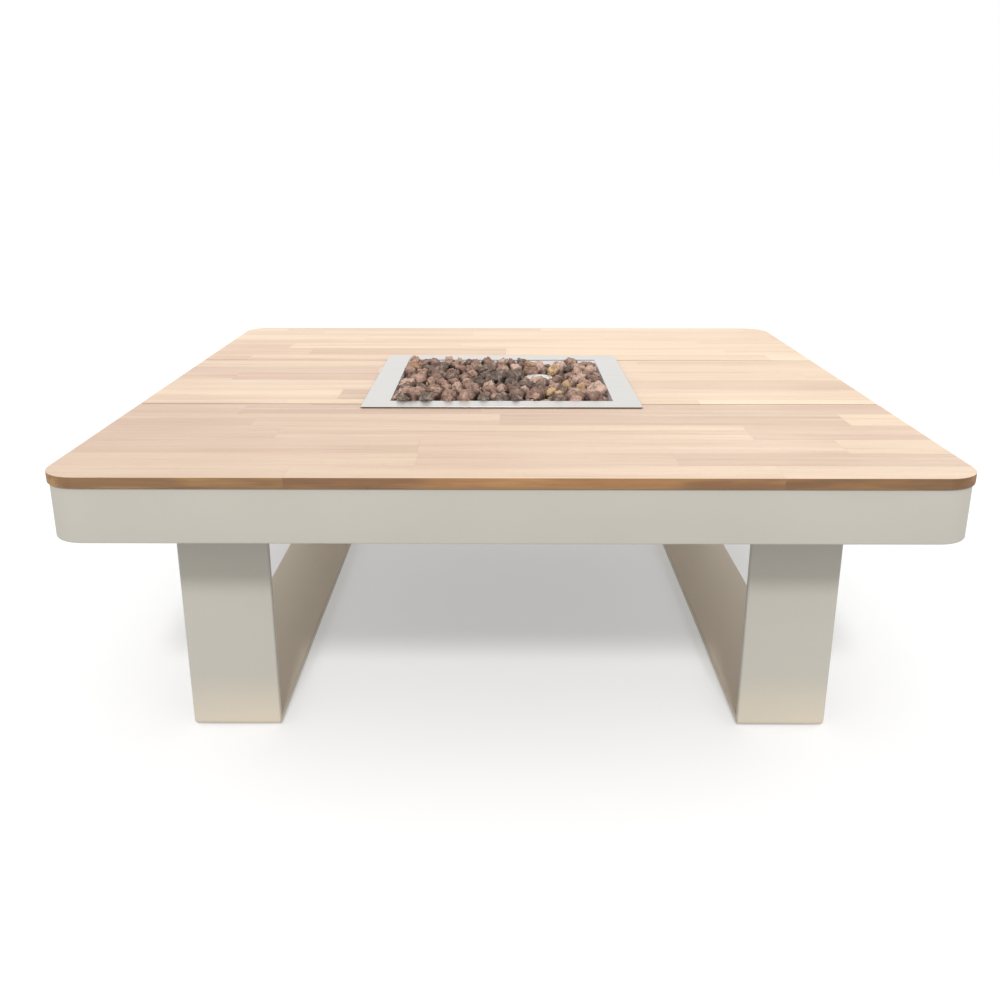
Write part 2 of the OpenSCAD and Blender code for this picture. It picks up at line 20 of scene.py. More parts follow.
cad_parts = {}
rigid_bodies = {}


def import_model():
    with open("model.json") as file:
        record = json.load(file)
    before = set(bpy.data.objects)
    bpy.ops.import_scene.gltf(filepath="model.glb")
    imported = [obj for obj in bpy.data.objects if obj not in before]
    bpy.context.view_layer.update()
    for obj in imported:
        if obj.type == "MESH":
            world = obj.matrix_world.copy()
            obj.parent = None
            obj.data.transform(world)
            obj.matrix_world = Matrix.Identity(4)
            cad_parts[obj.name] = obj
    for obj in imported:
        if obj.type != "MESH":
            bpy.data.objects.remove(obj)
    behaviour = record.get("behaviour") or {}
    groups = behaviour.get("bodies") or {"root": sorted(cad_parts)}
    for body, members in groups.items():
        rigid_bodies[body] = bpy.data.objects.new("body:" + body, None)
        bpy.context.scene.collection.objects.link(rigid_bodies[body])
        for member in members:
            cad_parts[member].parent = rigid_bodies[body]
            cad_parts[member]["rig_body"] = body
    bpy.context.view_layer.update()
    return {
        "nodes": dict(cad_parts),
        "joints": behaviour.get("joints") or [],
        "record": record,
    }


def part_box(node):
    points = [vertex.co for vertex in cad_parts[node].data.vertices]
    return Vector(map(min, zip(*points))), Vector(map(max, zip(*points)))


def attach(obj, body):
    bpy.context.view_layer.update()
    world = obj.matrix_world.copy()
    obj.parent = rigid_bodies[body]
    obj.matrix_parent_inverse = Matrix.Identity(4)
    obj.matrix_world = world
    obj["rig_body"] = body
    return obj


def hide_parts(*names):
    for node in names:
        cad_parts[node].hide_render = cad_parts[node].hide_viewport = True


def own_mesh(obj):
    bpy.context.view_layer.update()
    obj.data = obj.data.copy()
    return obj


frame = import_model()

LOG = logging.getLogger("fire_table")
MM = 0.001
CREASE = 35.0  # degrees between faces, past which an edge of a computed surface stays crisp
SHARP = 30.0  # the same, for turned pieces and for the edges that are eased
RIM_STEPS = 5  # points round a quarter of an eased edge
Colour = tuple[float, float, float]


def linear(red: int, green: int, blue: int) -> Colour:
    """Turns a screen colour of 0 to 255 into the linear light that shaders use."""
    share = np.array([red, green, blue]) / 255.0
    low, high = share / 12.92, ((share + 0.055) / 1.055) ** 2.4
    return tuple(float(v) for v in np.where(share <= 0.04045, low, high))


def scaled(colour: Colour, factor: float) -> Colour:
    """A colour made darker or lighter by a factor."""
    return tuple(min(1.0, c * factor) for c in colour)


# ---------------------------------------------------------------- shader writing


class Signal:
    """A shader socket that adds Math nodes when arithmetic is done on it."""

    def __init__(self, shader: "Shader", socket: bpy.types.NodeSocket) -> None:
        """Keeps the shader that the socket belongs to."""
        self.shader = shader
        self.socket = socket

    def math(self, operation: str, *others: "Signal | float") -> "Signal":
        """Adds a Math node whose first value is this one."""
        return self.shader.math(operation, self, *others)

    def __rsub__(self, other: float) -> "Signal":
        """Difference from a plain number."""
        return self.shader.math("SUBTRACT", other, self)

    __add__ = __radd__ = partialmethod(math, "ADD")
    __sub__ = partialmethod(math, "SUBTRACT")
    __mul__ = __rmul__ = partialmethod(math, "MULTIPLY")
    __truediv__ = partialmethod(math, "DIVIDE")
    floor = partialmethod(math, "FLOOR")
    fraction = partialmethod(math, "FRACT")
    sine = partialmethod(math, "SINE")
    size = partialmethod(math, "ABSOLUTE")
    smallest = partialmethod(math, "MINIMUM")
    largest = partialmethod(math, "MAXIMUM")

    def step(self, start: float, end: float) -> "Signal":
        """Rises smoothly from 0 to 1 between start and end."""
        values = {"Value": self, "From Min": start, "From Max": end}
        settings = {"interpolation_type": "SMOOTHSTEP"}
        return self.shader.node("ShaderNodeMapRange", settings, values, "Result")


class Shader:
    """Writes one material's nodes around its Principled surface."""

    def __init__(self, name: str) -> None:
        """Starts a material with a Principled surface and Object coordinates."""
        self.material = bpy.data.materials.new(name)
        self.material.use_nodes = True
        self.tree = self.material.node_tree
        self.surface = self.tree.nodes["Principled BSDF"]
        self.place = self.node("ShaderNodeTexCoord", {}, {}, "Object")
        self.x, self.y, self.z = (self.axis(self.place, k) for k in "XYZ")

    def node(self, kind: str, settings: dict, values: dict, output: str | int) -> Signal:
        """Adds a node.

        Args:
            kind: the node's type.
            settings: its properties, set before its sockets.
            values: socket name or index to a number, a colour or a Signal.
            output: the output socket that is wanted.

        Returns:
            That output.
        """
        made = self.tree.nodes.new(kind)
        for key, value in settings.items():
            setattr(made, key, value)
        for key, value in values.items():
            self.link(made.inputs[key], value)
        return Signal(self, made.outputs[output])

    def link(self, socket: bpy.types.NodeSocket, value: "Signal | float | tuple") -> None:
        """Feeds a socket with a Signal, a number or a colour."""
        if isinstance(value, Signal):
            self.tree.links.new(value.socket, socket)
        elif isinstance(value, tuple) and socket.type == "RGBA":
            socket.default_value = (*value, 1.0)
        else:
            socket.default_value = value

    def math(self, operation: str, *values: "Signal | float") -> Signal:
        """Adds a Math node and returns its value."""
        settings = {"operation": operation}
        return self.node("ShaderNodeMath", settings, dict(enumerate(values)), "Value")

    def axis(self, vector: Signal, letter: str) -> Signal:
        """One part of a vector."""
        return self.node("ShaderNodeSeparateXYZ", {}, {"Vector": vector}, letter)

    def vector(self, x: "Signal | float", y: "Signal | float", z: "Signal | float") -> Signal:
        """A vector from three values."""
        return self.node("ShaderNodeCombineXYZ", {}, {"X": x, "Y": y, "Z": z}, "Vector")

    def noise(self, scale: float, detail: float = 4.0, at: Signal | None = None,
              rough: float = 0.5) -> Signal:
        """Smooth noise around one half.

        Args:
            scale: how many lumps there are in a metre.
            detail: how many finer layers are added.
            at: where it is read, the object's own place by default.
            rough: how strong the finer layers are.

        Returns:
            The noise.
        """
        values = {"Vector": at or self.place, "Scale": scale, "Detail": detail, "Roughness": rough}
        return self.node("ShaderNodeTexNoise", {}, values, "Fac")

    def cells(self, scale: float, output: str = "Distance") -> Signal:
        """Distance to the nearest of scattered points, scale of them along a metre, or its own colour."""
        values = {"Vector": self.place, "Scale": scale}
        return self.node("ShaderNodeTexVoronoi", {}, values, output)

    def dice(self, x: "Signal | float", y: "Signal | float", z: float = 0.0) -> Signal:
        """A number from 0 to 1 that is fixed for each whole x, y and z."""
        settings = {"noise_dimensions": "3D"}
        return self.node("ShaderNodeTexWhiteNoise", settings, {"Vector": self.vector(x, y, z)}, "Value")

    def ramp(self, by: Signal, stops: list[tuple[float, Colour]]) -> Signal:
        """A colour read from a row of stops."""
        made = self.node("ShaderNodeValToRGB", {}, {"Fac": by}, "Color")
        elements = made.socket.node.color_ramp.elements
        while len(elements) < len(stops):
            elements.new(1.0)
        for element, (where, colour) in zip(elements, stops):
            element.position = where
            element.color = (*colour, 1.0)
        return made

    def mix(self, share: "Signal | float", first: "Signal | Colour", second: "Signal | Colour") -> Signal:
        """Blends two colours, share of the second over the first."""
        return self.node("ShaderNodeMix", {"data_type": "RGBA"}, {0: share, 6: first, 7: second}, 2)

    def coats(self, base: "Signal | Colour", *coats: tuple) -> Signal:
        """Lays coats over a base one after another, each a share and a colour."""
        for share, colour in coats:
            base = self.mix(share, base, colour)
        return base

    def attribute(self, name: str) -> Signal:
        """A number that the mesh carries at its points."""
        return self.node("ShaderNodeAttribute", {"attribute_name": name}, {}, "Fac")

    def bump(self, height: Signal, distance: float) -> None:
        """Raises the surface by height times distance."""
        values = {"Height": height, "Distance": distance, "Strength": 1.0}
        self.set("Normal", self.node("ShaderNodeBump", {}, values, "Normal"))

    def set(self, name: str, value: "Signal | float | Colour") -> None:
        """Feeds one of the surface's own sockets."""
        self.link(self.surface.inputs[name], value)


class Finish:
    """A surface finish, whose material is written once and shared."""

    made: dict[str, bpy.types.Material] = {}

    def material(self) -> bpy.types.Material:
        """The finish's material."""
        key = repr(self)
        if key not in Finish.made:
            shader = Shader(type(self).__name__)
            self.write(shader)
            Finish.made[key] = shader.material
        return Finish.made[key]

    def write(self, shader: Shader) -> None:
        """Writes the finish's nodes."""
        raise NotImplementedError


@dataclass(frozen=True)
class PowderCoat(Finish):
    """Matt polyester powder coat: fine orange peel, faint speckle, painted light near the floor.

    Painted light also pales the flat tops of the runners, which runner gives as a half length and a height.
    """

    colour: Colour = linear(161, 157, 147)
    painted_light: float = 0.75
    runner: tuple[float, float] = (0.45, 0.015)

    def write(self, shader: Shader) -> None:
        """Blends speckle and broad unevenness, varies the gloss, and paints light near the floor and on the
        runner tops.
        """
        broad = shader.noise(7.0, 3.0)
        speck = shader.noise(1500.0, 2.0)
        ground = shader.ramp(broad, [(0.3, scaled(self.colour, 0.96)), (0.7, self.colour)])
        # painted light: the coat turns paler towards the floor, fading out by 0.1 m up
        low = (1.0 - shader.z.step(0.0, 0.1)) * (0.4 + 0.6 * broad) * self.painted_light
        length, top = self.runner
        # painted light: the flat tops of the runners are made paler, as if better lit
        flat = shader.z.step(top - 0.0006, top - 0.0001) * (1.0 - shader.z.step(top + 0.0002, top + 0.003))
        painted_runner_light = flat * (1.0 - shader.y.size().step(length - 0.003, length)) * self.painted_light
        shader.set("Base Color", shader.coats(
            ground,
            (speck.step(0.62, 0.75) * 0.35, scaled(self.colour, 0.86)),
            (speck.step(0.38, 0.28) * 0.3, scaled(self.colour, 1.07)),
            (low, linear(196, 181, 160)),
            (painted_runner_light, linear(222, 208, 188)),
        ))
        shader.set("Roughness", 0.5 + 0.14 * broad)
        shader.bump(shader.noise(420.0, 2.0) + 0.4 * speck, 0.00012)


@dataclass(frozen=True)
class Timber(Finish):
    """Pale brushed hardwood glued up from staves along X, golden on its sawn edges.

    The boards change over at gap from the middle. A slope in plan, given by x and y weights, paints light
    that grows towards the back and right and paints shade at the front left.
    """

    top: float
    gap: float
    stave: float = 0.065
    length: float = 0.50
    half: float = 0.6
    light_lean: tuple[float, float] = (0.42, 0.75)

    def write(self, shader: Shader) -> None:
        """Numbers the staves by row and length, tints each one, then adds grain and pores."""
        across = shader.y + self.half
        rank = (shader.y + self.gap).step(-0.001, 0.001) + (shader.y - self.gap).step(-0.001, 0.001)
        uneven = across / self.stave + 0.24 * (across * 14.0 + rank * 2.1).sine()
        row = uneven.floor() + rank * 7.0
        along = (shader.x + self.half) / self.length + shader.dice(row, 3.0)
        run = along + 0.2 * (along * 2.7 + row * 1.9).sine()
        lot = run.floor()
        tone = shader.dice(row, lot, 5.0)
        drift = shader.dice(row, lot, 9.0) * 37.0
        figure = shader.noise(1.0, 3.0, self.stretched(shader, 1.1, 15.0, drift))
        streak = shader.noise(1.0, 6.0, self.stretched(shader, 2.2, 82.0, drift), 0.62)
        fibre = shader.noise(1.0, 3.0, self.stretched(shader, 14.0, 620.0, drift))
        pores = shader.noise(1.0, 2.0, self.stretched(shader, 60.0, 1000.0, drift)).step(0.6, 0.74)
        patch = shader.noise(1.0, 3.0, self.stretched(shader, 5.0, 34.0, drift))
        bleach = shader.noise(2.3, 2.0)
        light_slope = self.light_lean[0] * shader.x + self.light_lean[1] * shader.y
        pale = shader.coats(
            self.upper(shader, tone, figure, streak),
            (bleach.step(0.42, 0.62) * 0.22, linear(226, 208, 188)),
            (fibre.step(0.5, 0.7) * 0.16, linear(150, 122, 100)),
            # painted shade at the front left and painted light towards the back and right, along the plan
            # slope
            (light_slope.step(-0.08, -0.68) * 0.5, linear(178, 152, 134)),
            (light_slope.step(-0.32, 0.5) * 0.24, linear(246, 220, 190)),
            (pores * 0.2, linear(134, 104, 80)),
        )
        golden = self.sawn(shader, tone, patch, streak, fibre)
        seam = uneven.fraction().smallest(1.0 - uneven.fraction()) * self.stave
        butt = run.fraction().smallest(1.0 - run.fraction()) * self.length
        glue = 1.0 - seam.smallest(butt).step(0.0001, 0.0005)
        worn = shader.z.step(self.top - 0.0006, self.top - 0.0002)
        wood = shader.mix(worn, golden, pale)
        shader.set("Base Color", shader.mix(glue * 0.12, wood, linear(126, 94, 66)))
        shader.set("Roughness", 0.52 + 0.22 * streak)
        shader.set("Specular IOR Level", 0.5)
        shader.bump(0.5 * streak + 0.25 * fibre - 0.6 * pores - 0.5 * glue, 0.00025)

    @staticmethod
    def stretched(shader: Shader, slow: float, fast: float, drift: Signal) -> Signal:
        """A place drawn out along X, shifted for each stave so that no grain crosses a joint."""
        return shader.vector(shader.x * slow + drift, shader.y * fast + drift, shader.z * fast)

    @staticmethod
    def upper(shader: Shader, tone: Signal, figure: Signal, streak: Signal) -> Signal:
        """The weathered upper face: a stave's own tone under broad figure and narrow streaks."""
        pale = shader.ramp(tone, [
            (0.0, linear(192, 167, 147)), (0.18, linear(214, 191, 168)), (0.36, linear(199, 173, 154)),
            (0.55, linear(219, 196, 171)), (0.75, linear(202, 176, 156)), (1.0, linear(224, 203, 178)),
        ])
        return shader.coats(
            pale,
            (figure.step(0.46, 0.66) * 0.46, linear(184, 155, 137)),
            (figure.step(0.44, 0.28) * 0.36, linear(228, 204, 176)),
            (streak.step(0.5, 0.7) * 0.34, linear(170, 140, 119)),
            (streak.step(0.46, 0.3) * 0.34, linear(230, 210, 186)),
        )

    @staticmethod
    def sawn(shader: Shader, tone: Signal, patch: Signal, streak: Signal, fibre: Signal) -> Signal:
        """The oiled edges and underside, each stave its own golden brown with soft dark patches."""
        golden = shader.ramp(tone, [
            (0.0, linear(132, 96, 53)), (0.3, linear(138, 99, 55)), (0.5, linear(138, 97, 56)),
            (0.7, linear(140, 103, 57)), (1.0, linear(148, 112, 66)),
        ])
        return shader.coats(
            golden,
            (patch.step(0.48, 0.64) * 0.6, linear(86, 58, 36)),
            (patch.step(0.44, 0.3) * 0.5, linear(166, 124, 76)),
            (streak.step(0.42, 0.7) * 0.6, linear(88, 60, 36)),
            (fibre.step(0.5, 0.7) * 0.25, linear(84, 58, 38)),
        )


@dataclass(frozen=True)
class BrushedSteel(Finish):
    """Stainless sheet with a fine brushed line along one axis.

    Sheet gives a square flange by its middle, half width and top: what lies below it is
    the pan's pale wall, and its outer rim is painted dark as a painted shadow line.
    """

    colour: Colour = linear(226, 224, 220)
    rough: float = 0.34
    along_y: bool = False
    sheet: tuple[float, float, float, float] | None = None

    def write(self, shader: Shader) -> None:
        """Stretches noise into long scratches that vary tone, gloss and height."""
        fine, slow = 1400.0, 9.0
        x, y = (fine, slow) if self.along_y else (slow, fine)
        lines = shader.noise(1.0, 3.0, shader.vector(shader.x * x, shader.y * y, shader.z * fine))
        cloud = shader.noise(11.0, 3.0)
        worn = lines.step(0.35, 0.7) * 0.5 + cloud * 0.15
        base = shader.mix(worn, self.colour, scaled(self.colour, 0.88))
        shader.set("Metallic", 1.0)
        if self.sheet:
            # painted shade: the flange's outer rim is painted dark brown and made less metallic, as the
            # shadow line under its edge
            cut = self.rim_shade(shader)
            wall = 1.0 - shader.z.step(self.sheet[3] - 0.0024, self.sheet[3] - 0.0016)
            base = shader.coats(base, (wall, linear(244, 240, 242)), (cut, linear(74, 64, 56)))
            shader.set("Metallic", (1.0 - 0.7 * cut) * (1.0 - 0.85 * wall))
        shader.set("Base Color", base)
        shader.set("Roughness", self.rough - 0.05 + 0.08 * lines + 0.05 * cloud)
        shader.bump(lines, 0.00002)

    def rim_shade(self, shader: Shader) -> Signal:
        """Where the square sheet's outer rim is painted dark: a painted shadow line below the flange's top.
        """
        x, y, half, top = self.sheet
        out = (shader.x - x).size().largest((shader.y - y).size())
        return out.step(half - 0.0005, half - 0.0002) * (1.0 - shader.z.step(top - 0.0006, top - 0.0003))


@dataclass(frozen=True)
class HeatedSteel(Finish):
    """Burner steel dulled by flame: brown and blue heat tint in soft clouds."""

    def write(self, shader: Shader) -> None:
        """Picks a heat tint from broad noise and roughens it with soot."""
        heat = shader.noise(26.0, 3.0)
        soot = shader.noise(140.0, 4.0)
        tint = shader.ramp(heat, [
            (0.3, linear(122, 116, 110)), (0.48, linear(146, 128, 104)),
            (0.6, linear(108, 100, 112)), (0.75, linear(134, 130, 126)),
        ])
        shader.set("Base Color", shader.mix(soot.step(0.5, 0.75) * 0.6, tint, linear(62, 58, 54)))
        shader.set("Metallic", 0.9)
        shader.set("Roughness", 0.42 + 0.3 * soot)
        shader.bump(soot, 0.00006)


@dataclass(frozen=True)
class Galvanised(Finish):
    """Zinc-coated sheet with spangled crystals."""

    def write(self, shader: Shader) -> None:
        """Gives each crystal of a cell pattern its own grey."""
        grey = shader.axis(shader.cells(90.0, "Color"), "X")
        greys = [(0.0, linear(150, 152, 153)), (1.0, linear(190, 192, 192))]
        shader.set("Base Color", shader.ramp(grey, greys))
        shader.set("Metallic", 0.95)
        shader.set("Roughness", 0.38 + 0.16 * grey)
        shader.bump(shader.noise(300.0, 2.0), 0.00003)


@dataclass(frozen=True)
class Metal(Finish):
    """Machined or drawn metal with a slight tarnish."""

    colour: Colour
    tarnish: Colour
    rough: float = 0.3

    def write(self, shader: Shader) -> None:
        """Lays tarnish in soft patches over the bright metal."""
        patch = shader.noise(60.0, 4.0)
        turned = shader.noise(900.0, 2.0)
        shader.set("Base Color", shader.mix(patch.step(0.45, 0.75) * 0.7, self.colour, self.tarnish))
        shader.set("Metallic", 1.0)
        shader.set("Roughness", self.rough + 0.2 * patch)
        shader.bump(turned, 0.00002)


@dataclass(frozen=True)
class Moulded(Finish):
    """Moulded plastic, rubber or fired clay: even colour with a fine grain."""

    colour: Colour
    rough: float = 0.5
    grain: float = 700.0

    def write(self, shader: Shader) -> None:
        """Varies tone a little with a broad noise and grains the surface."""
        broad = shader.noise(30.0, 3.0)
        fine = shader.noise(self.grain, 2.0)
        pale = tuple(min(1.0, c * 1.25 + 0.01) for c in self.colour)
        shader.set("Base Color", shader.mix(broad * 0.5, self.colour, pale))
        shader.set("Roughness", self.rough + 0.12 * (fine - 0.5))
        shader.bump(fine, 0.00004)


@dataclass(frozen=True)
class KnobPlastic(Finish):
    """Satin black plastic with a white index line printed on the knob's face."""

    centre: tuple[float, float, float]
    bar_half: float = 0.001
    bar_ends: tuple[float, float] = (0.006, 0.015)

    def write(self, shader: Shader) -> None:
        """Whitens a narrow bar above the middle of the face."""
        x, y, z = self.centre
        start, end = self.bar_ends
        above = shader.z - z
        front = shader.x.step(x - 0.0006, x - 0.0004)
        across = 1.0 - (shader.y - y).size().step(self.bar_half - 0.0002, self.bar_half)
        along = above.step(start, start + 0.0003) * (1.0 - above.step(end - 0.0002, end))
        fine = shader.noise(800.0, 2.0)
        bar = across * along * front
        shader.set("Base Color", shader.mix(bar, linear(38, 38, 39), linear(232, 232, 228)))
        shader.set("Roughness", 0.42 + 0.1 * fine)
        shader.bump(fine, 0.00003)


@dataclass(frozen=True)
class LavaRock(Finish):
    """Crushed lava: matt, porous, brown to mauve with some ochre stones."""

    def write(self, shader: Shader) -> None:
        """Tints each stone by its own number, paints shade into its pits and pores and where it meets other
        stones, and speckles it.
        """
        tint = shader.attribute("tint")
        pit = shader.attribute("pit")
        body = shader.ramp(tint, [
            (0.0, linear(102, 91, 83)), (0.14, linear(112, 96, 87)), (0.3, linear(134, 107, 95)),
            (0.5, linear(153, 123, 108)), (0.68, linear(172, 139, 123)), (0.84, linear(198, 168, 151)),
            (0.88, linear(160, 122, 94)), (0.92, linear(176, 140, 104)), (1.0, linear(198, 166, 124)),
        ])
        patch = shader.noise(105.0, 5.0, rough=0.66)
        grit = shader.noise(800.0, 3.0, rough=0.7)
        holes = shader.cells(460.0)
        dark = shader.mix(0.55, body, linear(66, 50, 43))
        light = shader.mix(0.36, body, linear(210, 188, 172))
        # painted shade: the pores that the bump presses in are painted dark
        hollow = 1.0 - holes.step(0.1, 0.36)
        # painted shade: dark brown where a stone comes near another, in the gaps between them
        deep = shader.attribute("crevice_shade").step(0.0, 1.0)
        shader.set("Base Color", shader.coats(
            body,
            (patch.step(0.5, 0.66), light),
            (patch.step(0.48, 0.32), dark),
            (grit.step(0.55, 0.8) * 0.25, linear(198, 178, 164)),
            (hollow * 0.34, linear(58, 46, 42)),
            # painted shade: the dents cut into each stone are painted dark
            (pit * 0.45, linear(56, 44, 40)),
            (deep * 0.84, linear(34, 24, 19)),
        ))
        shader.set("Roughness", 0.92 + 0.06 * grit)
        shader.set("Specular IOR Level", 0.2)
        shader.bump(0.6 * grit + 0.8 * holes.smallest(0.5), 0.0014)


TIMBER = Timber(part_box("board_front")[1].z, (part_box("board_left")[1].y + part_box("board_back")[0].y) / 2)
RUNNER_LOW, RUNNER_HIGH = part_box("leg_runner_left")
RUNNER_THICK = RUNNER_HIGH.z - RUNNER_LOW.z
PEBBLE = PowderCoat(runner=(RUNNER_HIGH.y - RUNNER_THICK, RUNNER_HIGH.z))
RAIL_COAT = PowderCoat(colour=linear(160, 157, 146), painted_light=0.0)
FLANGE_LOW, FLANGE_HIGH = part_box("burner_pan")
PAN_STEEL = BrushedSteel(sheet=(
    (FLANGE_LOW.x + FLANGE_HIGH.x) / 2, (FLANGE_LOW.y + FLANGE_HIGH.y) / 2,
    (FLANGE_HIGH.x - FLANGE_LOW.x) / 2, FLANGE_HIGH.z,
))
HOOD_STEEL = BrushedSteel(colour=linear(250, 250, 248), rough=0.4)
PLATE_STEEL = BrushedSteel(rough=0.28, along_y=True)
BURNT = HeatedSteel()
ZINC = Galvanised()
SCREW = Metal(linear(206, 206, 202), linear(150, 148, 142), 0.25)
BRASS = Metal(linear(212, 176, 104), linear(150, 116, 62), 0.26)
COPPER = Metal(linear(214, 142, 104), linear(128, 82, 60), 0.3)
CHROME = Metal(linear(232, 232, 234), linear(206, 206, 208), 0.08)
RUBBER = Moulded(linear(34, 33, 32), 0.75)
GLIDE = Moulded(linear(58, 58, 56), 0.6)
SILICONE = Moulded(linear(150, 52, 38), 0.55)
CLAY = Moulded(linear(238, 234, 224), 0.7, 1200.0)
BODY_BLACK = Moulded(linear(36, 36, 37), 0.45)
LAVA = LavaRock()


# ---------------------------------------------------------------- surface making


def grid_faces(rows: int, columns: int, loop_rows: bool = False) -> list[list[int]]:
    """Quads between rows of points, each row a closed ring.

    Args:
        rows: how many rows of points there are.
        columns: how many points a row has.
        loop_rows: whether the last row joins the first.

    Returns:
        Four point numbers for each face.
    """
    i = np.arange(rows if loop_rows else rows - 1)[:, None]
    j = np.arange(columns)[None, :]
    after, beside = (i + 1) % rows, (j + 1) % columns
    corners = [i * columns + j, i * columns + beside, after * columns + beside, after * columns + j]
    return np.stack(corners, axis=-1).reshape(-1, 4).tolist()


def closed_faces(rows: int, columns: int) -> list[list[int]]:
    """Quads between rings of points, with a flat face over the first and the last ring."""
    ends = [list(range(columns)), list(range((rows - 1) * columns, rows * columns))]
    return grid_faces(rows, columns) + ends


def lifted(outline: np.ndarray, z: float) -> np.ndarray:
    """A flat outline put at a height."""
    return np.c_[outline, np.full(len(outline), z)]


def surface(name: str, points: np.ndarray, faces: list, crease: float = CREASE) -> bpy.types.Object:
    """Puts points and faces into a closed mesh with outward faces.

    Args:
        name: the piece's name.
        points: an array whose last axis is x, y, z.
        faces: rows of point numbers.
        crease: edges sharper than this many degrees stay crisp.

    Returns:
        The new object, at the origin.
    """
    mesh = bpy.data.meshes.new(name)
    mesh.from_pydata(points.reshape(-1, 3).tolist(), [], faces)
    tidy(mesh, 1e-6)
    return placed(name, mesh, crease)


def tidy(mesh: bpy.types.Mesh, gap: float, flatten: float = 0.0) -> None:
    """Merges doubled points, turns faces outwards and joins flat neighbours.

    Args:
        mesh: the mesh to tidy.
        gap: points nearer than this are one.
        flatten: faces within this many degrees of flat are joined; 0 joins none.
    """
    shape = bmesh.new()
    shape.from_mesh(mesh)
    bmesh.ops.remove_doubles(shape, verts=shape.verts, dist=gap)
    if flatten:
        flat = math.radians(flatten)
        bmesh.ops.dissolve_limit(shape, angle_limit=flat, verts=shape.verts, edges=shape.edges)
    else:
        bmesh.ops.recalc_face_normals(shape, faces=shape.faces)
    shape.to_mesh(mesh)
    shape.free()


def linked(name: str, data: bpy.types.ID) -> bpy.types.Object:
    """Puts a mesh, a light or a camera into the scene, at the origin."""
    made = bpy.data.objects.new(name, data)
    bpy.context.scene.collection.objects.link(made)
    return made


def placed(name: str, mesh: bpy.types.Mesh, crease: float) -> bpy.types.Object:
    """Links a mesh as an object with smooth faces and crisp creases."""
    mesh.shade_smooth()
    mesh.set_sharp_from_angle(angle=math.radians(crease))
    return linked(name, mesh)


def rounded_outline(low: tuple, high: tuple, radii: tuple, inset: float, arc: int = 9) -> np.ndarray:
    """A rectangle with rounded corners, drawn in by an inset.

    Each corner is a quarter circle about its own middle, so that insetting it only
    shortens its radius.

    Args:
        low: the least x and y.
        high: the greatest x and y.
        radii: corner radii, anticlockwise from the least x and y.
        inset: how far the outline is drawn in.
        arc: how many points a corner has.

    Returns:
        The outline's points, anticlockwise.
    """
    (x0, y0), (x1, y1) = low, high
    turn = np.linspace(0.0, math.pi / 2, arc)
    signs = ((x0, 1, y0, 1), (x1, -1, y0, 1), (x1, -1, y1, -1), (x0, 1, y1, -1))
    corners = []
    for k, ((x, sx, y, sy), r) in enumerate(zip(signs, radii)):
        angle = turn + math.pi * (1 + k / 2)
        x, y, reach = x + sx * r, y + sy * r, r - inset
        corners.append(np.stack([x + reach * np.cos(angle), y + reach * np.sin(angle)], -1))
    return np.concatenate(corners)


def eased_rim(z0: float, z1: float, low_edge: float, high_edge: float) -> list[tuple[float, float]]:
    """Insets and heights up the side of a slab whose two rims are quarter rounds."""
    turn = np.linspace(0.0, math.pi / 2, RIM_STEPS)
    low = [(low_edge * (1 - math.sin(t)), z0 + low_edge * (1 - math.cos(t))) for t in turn]
    high = [(high_edge * (1 - math.cos(t)), z1 - high_edge * (1 - math.sin(t))) for t in turn]
    return low + high


def slab(name: str, low: tuple, high: tuple, radii: tuple, edges: tuple) -> bpy.types.Object:
    """A flat slab with rounded corners in plan and eased rims.

    Args:
        name: the piece's name.
        low: its lowest corner.
        high: its highest corner.
        radii: its corner radii in plan.
        edges: the radii of its lower and upper rims.

    Returns:
        The slab: rings of the outline stacked up its side, closed by two flat faces.
    """
    sides = eased_rim(low[2], high[2], *edges)
    points = np.stack([lifted(rounded_outline(low[:2], high[:2], radii, inset), z) for inset, z in sides])
    return surface(name, points, closed_faces(*points.shape[:2]))


def turned(name: str, profile: np.ndarray, centre: Vector, sides: int,
           ripple: np.ndarray | None = None) -> bpy.types.Object:
    """A shape turned about a line along X.

    Args:
        name: the piece's name.
        profile: rows of distance along X and radius.
        centre: a point on the line.
        sides: how many points go round it.
        ripple: for each profile row and side, a factor on the radius.

    Returns:
        The turned piece: each profile point is a ring of its radius about the line.
    """
    angle = np.arange(sides) * (2 * math.pi / sides)
    reach = profile[:, 1:2] * (np.ones((1, sides)) if ripple is None else ripple)
    along = np.repeat(profile[:, 0:1], sides, axis=1)
    across, up = reach * np.cos(angle), reach * np.sin(angle)
    points = np.stack([centre.x + along, centre.y + across, centre.z + up], -1)
    return surface(name, points, grid_faces(len(profile), sides), SHARP)


def coil(name: str, start: Vector, length: float, radius: float, wire: float,
         turns: float) -> bpy.types.Object:
    """A spring along X: a circle of wire carried along a helix, its ends closed.

    Args:
        name: the piece's name.
        start: the middle of its first end.
        length: its length.
        radius: from its line to the wire's middle.
        wire: the wire's own radius.
        turns: how often it goes round.

    Returns:
        The spring.
    """
    steps, sides = int(turns * 24), 8
    t = np.linspace(0.0, 1.0, steps)
    swing = 2 * math.pi * turns * t
    line = np.stack([start.x + wire + (length - 2 * wire) * t, start.y + radius * np.cos(swing),
                     start.z + radius * np.sin(swing)], -1)
    out = np.stack([np.zeros(steps), np.cos(swing), np.sin(swing)], -1)
    ahead = np.gradient(line, axis=0)
    ahead /= np.linalg.norm(ahead, axis=1, keepdims=True)
    side = np.cross(ahead, out)
    ring = np.arange(sides) * (2 * math.pi / sides)
    skin = out[:, None] * np.cos(ring)[:, None] + side[:, None] * np.sin(ring)[:, None]
    points = line[:, None] + wire * skin
    return surface(name, points, closed_faces(steps, sides))


